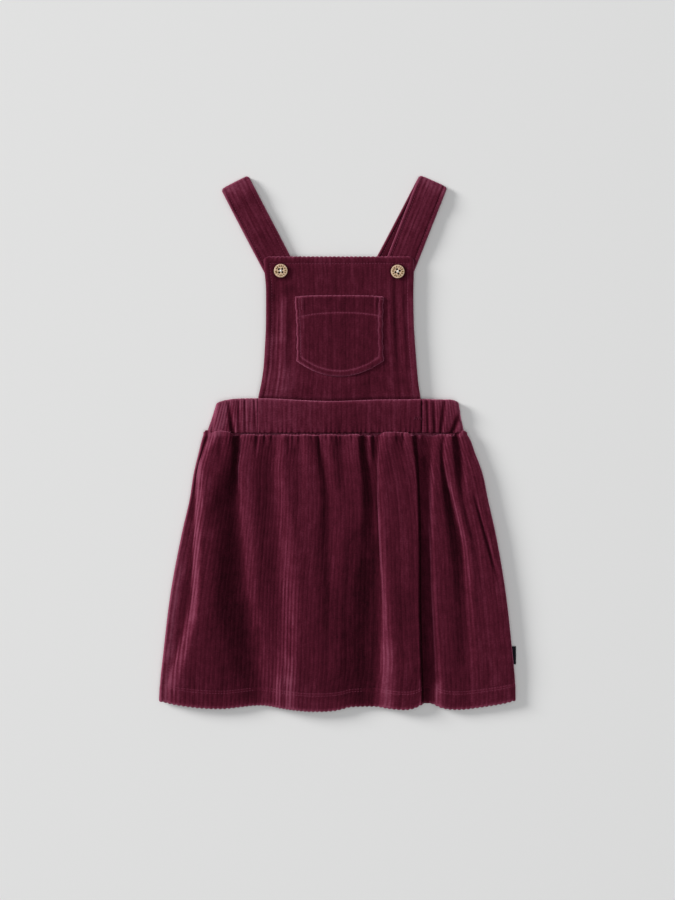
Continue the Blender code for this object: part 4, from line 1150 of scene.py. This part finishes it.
# Soft swells and hollows of the bib on the draft: centre, half widths, height, and how far its
# ridge leans to the right for each square down
BIB_SWELLS = (
    # across, down, half width, half height, height, lean
    (284.5, 342, 4.6, 46, 0.8, -0.02), (276.2, 330, 3, 50, -0.5, -0.02),
    (291.5, 330, 3.6, 36, -0.5, 0), (330, 384, 60, 9, 0.9, 0),
    (277, 382, 16, 9, 0.5, 0), (336, 293, 42, 6, -0.7, 0),
    (284, 288, 8, 6, 0.5, 0), (391, 322, 4, 40, 0.5, 0.02),
    (398, 326, 3, 50, -0.5, 0.05), (403, 326, 2.6, 50, 0.4, 0.05),
    (350, 268, 50, 6, 0.4, 0),
)

# Strokes of painted light and shade on the bib, on the draft
BIB_PAINTED_LIGHT = (
    # across, down, to across, to down, half width, shade
    (283.5, 298, 284, 340, 3.4, 0.4), (275, 312, 272, 350, 3, 0.3),
    (272, 336, 267, 399, 6.5, 0.4), (287, 336, 285, 392, 5, 0.3),
    (292, 368, 292, 386, 14, 0.22), (376, 366, 376, 386, 18, -0.16),
    (390, 292, 391, 392, 3.4, 0.2), (411, 300, 416, 399, 5, 0.3),
    (326, 252, 326, 262, 24, 0.18), (300, 276, 300, 292, 10, 0.12),
    (285, 384, 285, 400, 9, 0.2), (281, 302, 279, 398, 13, 0.2),
)

POCKET_LEFT = -46
POCKET_RIGHT = 49.4
POCKET_TOP = 157.9
POCKET_LOW = 71
POCKET_TALL = 88
POCKET_ROUND = 16.8
POCKET_RIBS = 19
POCKET_WALL = 1.5
POCKET_RELIEF = 0.16
POCKET_SIDE_STITCH = 4.5
POCKET_LOW_STITCH = 5.8
POCKET_HEM = 18.6
POCKET_HEM_ARCH = 3.6
POCKET_SHARES = np.concatenate((
    (0, 0.003, 0.01, 0.02, 0.04, 0.08, 0.13, 0.17), np.linspace(0.195, 0.295, 11),
    np.linspace(0.33, 0.88, 16), (0.905, 0.92, 0.93, 0.94, 0.95, 0.965, 0.98, 0.99, 0.997, 1)))

# Strokes of painted highlight on the pocket, on the draft, beside its hem and its side seams
POCKET_PAINTED_HIGHLIGHTS = (
    # across, down, to across, to down, half width, shade
    (303.2, 292, 303.8, 330, 0.9, 0.4), (374.2, 292, 374.6, 316, 0.9, 0.35),
    (377.8, 294, 377.8, 334, 0.8, 0.2),
)


def bib_edge(y):
    """Left and right edge of the bib at a height, with its two rounded corners."""
    left, right = curve(BIB_EDGES, y)
    past = max(0, y - (BIB_TOP - BIB_CORNER))
    cut = BIB_CORNER - math.sqrt(max(0, BIB_CORNER ** 2 - past ** 2))
    return left + cut, right - cut


def bib_height(x, y):
    """Height of the bib's underside: flat over the straps, drooping at its free sides."""
    free = smooth((y - 48) / 20) * smooth((158 - y) / 20)
    return BIB_LOW - BIB_SIDE_DROOP * free * (1 - smooth(within(x, bib_edge(y)) / 26))


def bib_swell(x, y):
    """Height of the bib's soft swells and hollows."""
    height = 0.2 * np.sin(0.085 * x + 0.9) * np.sin(0.031 * y + 0.4)
    for across, down, wide, tall, rise, lean in BIB_SWELLS:
        drop = y - (DRAFT_WAIST - down) * SQUARE
        height += rise * bell(x - across_draft(across) + lean * drop, wide * SQUARE) * bell(
            drop, tall * SQUARE)
    return height


def edge_of(distance, place, width):
    """1 outside a stitched line and 0 inside it, at a distance from the piece's edge."""
    return smooth((place - distance) / width + 0.5)


def sew_bib(face):
    """Topstitching of the bib: up its left side, along its top and down its right side."""
    middle = len(BIB_ROWS) // 2
    left, right = bib_edge(BIB_ROWS[middle])
    first = nearest(face[middle, :, 0], left + BIB_SIDE_STITCH)
    last = nearest(face[middle, :, 0], right - BIB_SIDE_STITCH)
    row = nearest(BIB_ROWS, BIB_TOP - BIB_TOP_STITCH)
    route = np.concatenate((face[3:row, first], face[row, first:last + 1],
                            face[3:row, last][::-1]))
    thread("bib_topstitching", stitches(route), 0.4)


def bib():
    """Bib: one ribbed panel with its top and sides turned and topstitched."""
    width = BIB_RIBS * RIB_PITCH
    across, wale, _side = ribbed(width, BIB_RIBS)
    plain, face, back = new_grids(len(BIB_ROWS), len(across))
    stitched, edge = np.empty((2, *plain.shape[:2]))
    for row, y in enumerate(BIB_ROWS):
        left, right = bib_edge(y)
        x = left + (right - left) * across / width
        side = within(x, (left, right))
        top = BIB_TOP - y
        side_line = bell(side - BIB_SIDE_STITCH, 1) * puckered(y) * smooth(
            (top - BIB_TOP_STITCH + 1.5) / 1.5)
        top_line = bell(top - BIB_TOP_STITCH, 1) * puckered(x) * smooth(
            (side - BIB_SIDE_STITCH + 1.5) / 1.5)
        sewn = np.maximum(side_line, top_line)
        faced = np.maximum(edge_of(side, BIB_SIDE_STITCH, 1.6), edge_of(top, BIB_TOP_STITCH, 1.6))
        rib = BIB_RELIEF * wale * (1 - 0.6 * sewn)
        dive = 2.3 * (1 - smooth((y - 45.2) / 4.6))
        under = bib_height(x, y)
        place = y + (band_top(x) - 46) * (1 - smooth((y - 46) / 30))
        inside = np.clip(np.minimum(side / BIB_SIDE_STITCH, top / BIB_TOP_STITCH), 0, 1)
        level = under + BIB_WALL + 0.3 + faced * (0.2 + 0.3 * np.sin(math.pi * inside))
        level += bib_swell(x, y) * smooth(side / 8) * smooth(top / 8)
        level -= np.maximum(rolled(side, 1.1), rolled(top, 1.5)) + dive
        scallop = 1.2 * (wale - 0.55) * smooth((y - 197) / 2.4)
        for grid, shown in ((plain, 0), (face, 1)):
            lay(grid[row], x, place + scallop * shown,
                np.maximum(level + (rib - 0.35 * sewn) * shown, under + 0.15))
        lay(back[row], x, place, under - 0.35 * (dive > 1))
        stitched[row] = sewn
        edge[row] = np.minimum(side, top)
    x, y = plain[..., 0], plain[..., 1]
    # Painted shade: a dark ring round each button and a slight darkening all over, and less shade just
    # above the band
    painted_shade = 0.04 - 0.35 * bell(BIB_ROWS - 48, 2.5)[:, None]
    for _side, button_x, button_y, _turned in BUTTONS:
        away = np.hypot(x - button_x, y - button_y)
        painted_shade = painted_shade + 0.5 * bell(away - BUTTON_RADIUS - 0.8, 1.5)
    cloth = (across, BIB_ROWS, RIB_PITCH, SEEDS["bib"])
    painted_light_and_tone = paint_light_and_shade(plain, 1, wale, inset=edge, sewn=-2.2 * stitched, rim=0.55,
                  ribs=(1 + 0.5 * smooth((BIB_RIBBED - x) / 30)) * worn(*cloth),
                  extra=streaks(*cloth) - painted_shade + strokes(x, y, BIB_PAINTED_LIGHT))
    piece = shell("bib", face, back, across, painted_light_and_tone)
    sew_bib(face)


def pocket_x(spread, half, share):
    """X of the pocket's points across a row: its sides lean and waver a little."""
    x = half * spread * (1 - 0.02 * math.sin(math.pi * share))
    x += 2.2 * share * (1 - 0.55 * np.abs(1 + spread)) ** 2
    x += 0.5 * math.sin(34 * share) * smooth((spread - 0.7) / 0.3)
    waver = 0.3 * math.sin(29 * share + 1) + 0.2 * math.sin(61 * share)
    return 0.5 * (POCKET_LEFT + POCKET_RIGHT) + x + waver * smooth((-spread - 0.7) / 0.3)


def sew_pocket(face, insets, hem_at):
    """Topstitching of the pocket: its sides and round lower edge, then its hem."""
    sides, lows, tops = insets
    columns = face.shape[1]
    first = nearest(sides[10][:columns // 2], POCKET_SIDE_STITCH)
    last = columns - 1 - first
    low_route = np.array([[np.interp(-POCKET_LOW_STITCH, -lows[:, column], face[:, column, axis])
                           for axis in range(3)] for column in range(first, last + 1)])
    hem_route = [[np.interp(hem_at[column], tops[:, column], face[:, column, axis])
                  for axis in range(3)] for column in range(first + 2, last - 1)]
    left_end = nearest(face[:, first, 1], low_route[0, 1])
    right_end = nearest(face[:, last, 1], low_route[-1, 1])
    route = np.concatenate((face[2:left_end, first], low_route, face[2:right_end, last][::-1]))
    thread("pocket_topstitching", stitches(route) + stitches(hem_route), 0.5)


def pocket():
    """Patch pocket with a turned hem, topstitched on its sides and its round lower edge."""
    width = POCKET_RIBS * RIB_PITCH
    across, wale, _side = ribbed(width, POCKET_RIBS)
    spread = 2 * across / width - 1
    half = 0.5 * (POCKET_RIGHT - POCKET_LEFT)
    upper = POCKET_TOP - 1.5 * np.abs(spread) ** 4
    lower = POCKET_LOW + POCKET_ROUND * np.abs(spread) ** 2.05
    hem_at = POCKET_HEM + POCKET_HEM_ARCH * spread ** 2 - 0.6 * spread
    plain, face, back = new_grids(len(POCKET_SHARES), len(across))
    sides, lows, tops, stitched = np.empty((4, *plain.shape[:2]))
    for row, share in enumerate(POCKET_SHARES):
        x = pocket_x(spread, half, share)
        y = upper + (lower - upper) * share
        under = np.array([bib_height(*place) for place in zip(x, y)]) + BIB_WALL + RIB_TOP + SEAM
        side = half * (1 - np.abs(spread))
        low = (y - lower) * np.cos(np.arctan(np.abs(np.gradient(lower, x))))
        top = upper - y
        side_line = bell(side - POCKET_SIDE_STITCH, 1) * smooth(low - POCKET_LOW_STITCH + 1)
        low_line = bell(low - POCKET_LOW_STITCH, 1.1) * smooth(side - POCKET_SIDE_STITCH + 1)
        hem_line = bell(top - hem_at, 1.1) * smooth(side / 1.5)
        sewn = np.maximum(np.maximum(side_line, low_line), hem_line)
        turned = np.maximum(edge_of(side, POCKET_SIDE_STITCH, 1.5),
                            edge_of(low, POCKET_LOW_STITCH, 1.5))
        level = under + POCKET_WALL + 0.4 + 0.12 * (turned + edge_of(top, hem_at, 2))
        level += 0.8 * np.exp(-top / 9) * smooth(side / 14)
        level += 0.3 * bell(side - 8, 1.6) * bell(top - 9, 10)
        level -= np.maximum(np.maximum(rolled(side, 1.7), rolled(low, 1.7)), rolled(top, 1.5))
        rib = POCKET_RELIEF * wale * (1 - 0.6 * sewn)
        for grid, out, groove in ((plain, 0, 0), (face, rib, 0.3 * sewn)):
            lay(grid[row], x, y + 0.9 * (out - 0.1) * (1 - smooth(top / 2.5)),
                np.maximum(level + out - groove, under + 0.15))
        lay(back[row], x, y, under)
        sides[row], lows[row], tops[row], stitched[row] = side, low, top, sewn
    cloth = (across, POCKET_SHARES * POCKET_TALL, RIB_PITCH, SEEDS["bib_pocket"])
    painted_light_and_tone = paint_light_and_shade(plain, -1, wale, ribs=1.5 * worn(*cloth), sewn=-6.5 * stitched, rim=0.95,
                  inset=np.minimum(np.minimum(sides, lows), tops),
                  extra=streaks(*cloth) - 0.12
                  + strokes(plain[..., 0], plain[..., 1], POCKET_PAINTED_HIGHLIGHTS))
    piece = shell("bib_pocket", face, back, across, painted_light_and_tone)
    sew_pocket(face, (sides, lows, tops), hem_at)


# ---------------------------------------------------------------- straps

STRAP_WIDTH = 33
STRAP_CORE = 2
STRAP_RIB = 0.5
STRAP_RELIEF = 0.2
STRAP_RIBS = 7
STRAP_LAYER = STRAP_CORE + STRAP_RIB + 0.35
STRAP_PAST_BUTTON = 17
STRAP_STITCH = 3.7
STRAP_SLANT = math.tan(math.radians(27))
CLIMB = (140, 112)
FRONT_STEPS = 42
FOLD_STEPS = 14
STRAPS = (
    # side, fold x, fold y, lower end x of the back stretch, how far it climbs at the crossing,
    # how much its left and right stitched lines show, and how strong its ribs are
    ("left", -110.7, 279.9, 16.2, 0, (0.5, 0.15), 0.9),
    ("right", 103.2, 281.2, -24, STRAP_LAYER, (0.3, 1), 1.4),
)


def back_line(fold_x, fold_y, end_x, y):
    """X of a back stretch: it leaves the fold at a slant and opens a little lower down."""
    full = fold_y - WAIST_TOP
    steep = math.copysign(STRAP_SLANT, end_x - fold_x)
    return (fold_x + steep * (fold_y - y)
            + (end_x - fold_x - steep * full) * ((fold_y - y) / full) ** 2)


def square_to(way):
    """Way across the strap."""
    return np.array((way[1], -way[0]))


def front_and_fold(side, fold, back_way):
    """Sections of a strap's front stretch, from its button end, and of its fold."""
    button_at = np.array(next(row[1:3] for row in BUTTONS if row[0] == side))
    way = (fold - button_at) / np.linalg.norm(fold - button_at)
    start = button_at - STRAP_PAST_BUTTON * way
    radius = 0.5 * STRAP_LAYER
    low = 0.5 * STRAP_CORE
    centre = fold - (radius + low) * way
    run = np.linalg.norm(centre - start)
    sections = []
    for share in 1 - np.linspace(1, 0, FRONT_STEPS) ** 1.6:
        left = run * (1 - share)
        raised = 1.6 * bell(left - 15, 11) * smooth(left / 4) + 1.2 * bell(left - 52, 26)
        sections.append((*(start + (centre - start) * share), low + 2 * radius + raised,
                         square_to(way), 0, way, 1, bell(left, 7)))
    for share in np.arange(1, FOLD_STEPS + 1) / FOLD_STEPS:
        angle = math.pi * share
        turned = way + (back_way - way) * share
        sections.append((*(centre + radius * math.sin(angle) * turned),
                         low + radius + radius * math.cos(angle), square_to(turned), angle,
                         turned, 1 - smooth((share - 0.55) / 0.3), 1))
    return sections


def strap_sections(side, fold_x, fold_y, end_x, climb):
    """Sections of a strap: middle, height, across, angle, way, front share, nearness to the fold."""
    fold = np.array((fold_x, fold_y))
    back_way = fold - (back_line(fold_x, fold_y, end_x, fold_y - 1), fold_y - 1)
    sections = front_and_fold(side, fold, back_way / np.linalg.norm(back_way))
    for y in np.linspace(272, WAIST_TOP + SEAM + 1, 60):
        x = back_line(fold_x, fold_y, end_x, y)
        slope = back_line(fold_x, fold_y, end_x, y - 1) - x
        way = np.array((-slope, 1)) / math.hypot(slope, 1)
        level = smooth((75 - y) / 25)
        across = square_to(way) * (1 - level) + np.array((1 / way[1], 0)) * level
        up = climb * smooth((CLIMB[0] - y) / (CLIMB[0] - CLIMB[1]))
        sections.append((x, y, 0.5 * STRAP_CORE + up, across, math.pi, way, 0, 0))
    return sections


def sew_strap(name, outer, inner, first):
    """Topstitching of a strap along both its edges, on the two faces that can show."""
    past_fold = FRONT_STEPS + FOLD_STEPS
    strands = []
    for column in (first, outer.shape[1] - 1 - first):
        strands += stitches(outer[:FRONT_STEPS, column])
        strands += stitches(outer[past_fold:, column], up=-1)
        strands += stitches(inner[past_fold:, column])
    thread(name + "_topstitching", strands, 0.34)


def strap(side, fold_x, fold_y, end_x, climb, lines, ribs):
    """Strap: a topstitched band that is folded at the shoulder and runs down behind the bib."""
    name = "strap_" + side
    pitch = STRAP_WIDTH / STRAP_RIBS
    across, wale, inset = ribbed(STRAP_WIDTH, STRAP_RIBS)
    spread = (across - 0.5 * STRAP_WIDTH) / (0.5 * STRAP_WIDTH)
    arch = 1 - spread ** 2
    edge = rolled(inset, 0.95)
    sections = strap_sections(side, fold_x, fold_y, end_x, climb)
    plain, outer, inner = new_grids(len(sections), len(across))
    stitched, painted_light = np.empty((2, *plain.shape[:2]))
    middles = np.array([section[:2] for section in sections])
    runs = run_along(middles) + 0.3 * np.arange(1, len(sections) + 1)
    for row, (x, y, z, aside, angle, way, front, near) in enumerate(sections):
        sewn = bell(inset - STRAP_STITCH, 0.8) * (0.55 + 0.45 * puckered(runs[row]))
        sewn *= 1 - front + front * np.where(spread < 0, *lines)
        puffy = 0.3 * (1 - smooth((inset - STRAP_STITCH) / 1.5 + 0.5)) * max(front, 0.3)
        set_back = near * (3 * np.abs(spread) ** 10 + 0.4 * arch)
        rib = STRAP_RELIEF * wale
        shown = 0.5 * front * arch + (STRAP_RIB - STRAP_RELIEF) * front - 0.28 * (1 - front)
        for grid, sign, out in ((plain, 1, shown), (outer, 1, shown + rib),
                                (inner, -1, rib * (1 - front))):
            reach = sign * (0.5 * STRAP_CORE + out + puffy - 0.55 * sewn - edge)
            pushed = (reach - set_back) * math.sin(angle)
            lay(grid[row], x + aside[0] * spread * 0.5 * STRAP_WIDTH + way[0] * pushed,
                y + aside[1] * spread * 0.5 * STRAP_WIDTH + way[1] * pushed,
                z + reach * math.cos(angle))
        stitched[row] = sewn
        # Painted light on the strap: brighter near the fold, darker on the back stretch
        painted_light[row] = 0.45 * near - 0.25 * (1 - front)
    painted_light += 0.16 * np.exp(-np.abs(runs - runs[FRONT_STEPS]) / 45)[:, None]
    cloth = (across, runs, pitch, SEEDS[name])
    painted_light_and_tone = paint_light_and_shade(plain, 1, wale, ribs=ribs * worn(*cloth), sewn=2.5 * stitched, inset=inset,
                  rim=0.95, extra=0.08 + painted_light + streaks(*cloth))
    piece = shell(name, outer, inner, across, painted_light_and_tone)
    sew_strap(name, outer, inner, nearest(inset[:len(inset) // 2], STRAP_STITCH))


# ---------------------------------------------------------------- buttons, label and bartacks

BUTTON_SEAT = BIB_LOW + BIB_WALL + RIB_TOP + SEAM
BUTTON_SPREAD = 1.75
BUTTON_HOLE = 1.25
BUTTON_SEEDS = {"left": 61, "right": 62}
HOLE_PLACES = ((1, 1), (1, -1), (-1, 1), (-1, -1))
BUTTON_PROFILE = (
    # radius, height
    (0, 2.42), (3.5, 2.42), (3.9, 2.5), (6.75, 2.52), (7, 2.46),
    (7.16, 2.3), (7.24, 2), (7.25, 1.5), (7.2, 1), (6.9, 0.5),
    (5.8, 0.1), (4.6, 0), (0, 0),
)
TICKS = 14
TICK_RING = 5.1

# Thread across a button, from the middle out: share of the way to a hole's middle, and height.
# The shares of its end are counted from the near rim of the hole.
THREAD_MIDDLE = ((0, 2.7), (0.3, 2.62))
THREAD_END = ((-0.06, 2.4), (0, 1.9), (0.02, 0.6))

LABEL_TOP = -219.5
LABEL_LOW = -238.8
LABEL_OUT = 4.8
LABEL_IN = 6
LABEL_WALL = 0.9

BARTACKS = (
    # middle, along, width, length, length of a step
    ((POCKET_LEFT + 7.6, 149, 12.8), (0, 1), 0.8, 13, 0.45),
    ((POCKET_RIGHT - 2, 154.6, 12.9), (0, 1), 2.8, 3.2, 0.45),
    ((86, 26.3, 9.6), (1, 0), 3.4, 8, 1.3),
)


def turned_disc():
    """Button blank, spun from its profile."""
    disc = bmesh.new()
    profile = [disc.verts.new((radius, 0, height)) for radius, height in BUTTON_PROFILE]
    edges = [disc.edges.new(pair) for pair in zip(profile, profile[1:])]
    bmesh.ops.spin(disc, geom=profile + edges, cent=(0, 0, 0), axis=(0, 0, 1),
                   angle=2 * math.pi, steps=56, use_merge=True)
    bmesh.ops.remove_doubles(disc, verts=disc.verts, dist=1e-4)
    bmesh.ops.recalc_face_normals(disc, faces=disc.faces)
    return finished(disc, "button_blank")


def four_rods(name, radius, length, height):
    """Round rods at the places of a button's four holes."""
    rods = bmesh.new()
    for across, along in HOLE_PLACES:
        place = (BUTTON_SPREAD * across, BUTTON_SPREAD * along, height)
        bmesh.ops.create_cone(rods, cap_ends=True, segments=18, depth=length, radius1=radius,
                              radius2=radius, matrix=Matrix.Translation(place))
    return finished(rods, name)


def drilled(blank, rods):
    """Mesh of a blank with the rods cut out of it."""
    whole, drill = (bpy.data.objects.new(mesh.name, mesh) for mesh in (blank, rods))
    for thing in (whole, drill):
        bpy.context.scene.collection.objects.link(thing)
    cut = whole.modifiers.new("holes", "BOOLEAN")
    cut.object = drill
    cut.solver = "EXACT"
    bpy.context.view_layer.update()
    mesh = bpy.data.meshes.new_from_object(whole.evaluated_get(
        bpy.context.evaluated_depsgraph_get()))
    for thing in (whole, drill):
        bpy.data.objects.remove(thing)
    return mesh


def tick_marks(name, seed):
    """Ring of plain burnt marks, uneven in place and size."""
    draw = np.random.default_rng(seed)
    ring = bmesh.new()
    for number in range(TICKS):
        angle = 2 * math.pi * (number + draw.uniform(-0.2, 0.2)) / TICKS
        size = (draw.uniform(1.5, 2.3), draw.uniform(1, 1.6), 0.14)
        bmesh.ops.create_cube(ring, size=1, matrix=Matrix.Rotation(angle, 4, "Z")
                              @ Matrix.Translation((TICK_RING, 0, 2.47))
                              @ Matrix.Diagonal((*size, 1)))
    return finished(ring, name)


def crossed_thread(x, y, turned):
    """Two double strands of thread that cross over a button between opposite holes."""
    hole = math.sqrt(2) * BUTTON_SPREAD
    rim = (hole - BUTTON_HOLE) / hole
    half = [*THREAD_MIDDLE[1:], *((rim + past, height) for past, height in THREAD_END)]
    strand = [(-place, height) for place, height in reversed(half)] + [THREAD_MIDDLE[0]] + half
    strands = []
    for quarter in range(2):
        angle = math.radians(turned + 45 + 90 * quarter)
        way = np.array((math.cos(angle), math.sin(angle), 0))
        aside = np.array((-way[1], way[0], 0))
        for offset in (-0.2, 0.2):
            strands.append([np.array((x, y, BUTTON_SEAT + height)) + way * place * hole
                            + aside * offset for place, height in strand])
    return strands


def button(side, x, y, turned):
    """Four-hole coconut button with burnt marks, sewn on with crossed thread."""
    name = "button_" + side
    centre = Vector((x, y, BUTTON_SEAT)) + Vector(CENTRING)
    put = Matrix.Scale(MM, 4) @ Matrix.Translation(centre) @ Matrix.Rotation(
        math.radians(turned), 4, "Z")
    disc = drilled(turned_disc(), four_rods("button_drill", BUTTON_HOLE, 8, 0))
    disc.transform(put)
    disc.shade_smooth()
    disc.set_sharp_from_angle(angle=math.radians(50))
    disc.name = name
    disc.materials.clear()
    keep(name + "_coconut", disc, ("coconut",), name)
    # Burnt marks, and near-black rods in the holes as painted shadow
    for mesh, finish in ((tick_marks(name + "_ticks", BUTTON_SEEDS[side]), "burnt"),
                         (four_rods(name + "_holes", BUTTON_HOLE - 0.02, 0.6, 0.9), "hole")):
        mesh.transform(put)
        keep(mesh.name, mesh, (finish,))
    thread(name + "_thread", crossed_thread(x, y, turned), 0.55, "white_thread")


def side_label():
    """Folded tape that is caught in the right side seam."""
    middle = 0.5 * (LABEL_TOP + LABEL_LOW)
    edge = skirt_edge(WAIST_SEAM - middle)[1]
    tape = bmesh.new()
    bmesh.ops.create_cube(tape, size=1)
    bmesh.ops.scale(tape, verts=tape.verts,
                    vec=(LABEL_IN + LABEL_OUT, LABEL_TOP - LABEL_LOW, LABEL_WALL))
    outer = [line for line in tape.edges if all(end.co.x > 0 for end in line.verts)
             and abs(line.verts[0].co.y - line.verts[1].co.y) > 1]
    bmesh.ops.bevel(tape, geom=outer, offset=0.42, offset_type="OFFSET", segments=4,
                    profile=0.5, affect="EDGES", material=-1)
    place = (edge + 0.5 * (LABEL_OUT - LABEL_IN), middle, WALL + SEAM + 0.5 * LABEL_WALL)
    bmesh.ops.translate(tape, verts=tape.verts, vec=Vector(CENTRING) + Vector(place))
    mesh = finished(tape, "side_label")
    mesh.transform(Matrix.Scale(MM, 4))
    keep("side_label_tape", mesh, ("tape",), "side_label")


def bartack(middle, along, width, length, step_length):
    """Zigzag of thread that locks a seam's end."""
    along = np.array((*along, 0))
    aside = np.array((-along[1], along[0], 0))
    count = int(length / step_length)
    return [middle + along * (step / count - 0.5) * length
            + aside * width * (0.5 if step % 2 else -0.5) for step in range(count + 1)]


def main():
    """Camera, lights and floor, and every piece of the dress from the surface up."""
    add_camera()
    add_lights()
    make_finishes()
    skirt_back()
    skirt_front()
    waistband_back()
    waistband_front()
    bib()
    pocket()
    for row in STRAPS:
        strap(*row)
    for row in BUTTONS:
        button(*row)
    side_label()
    thread("bartacks", [bartack(*row) for row in BARTACKS], 0.45)
    floor()


main()
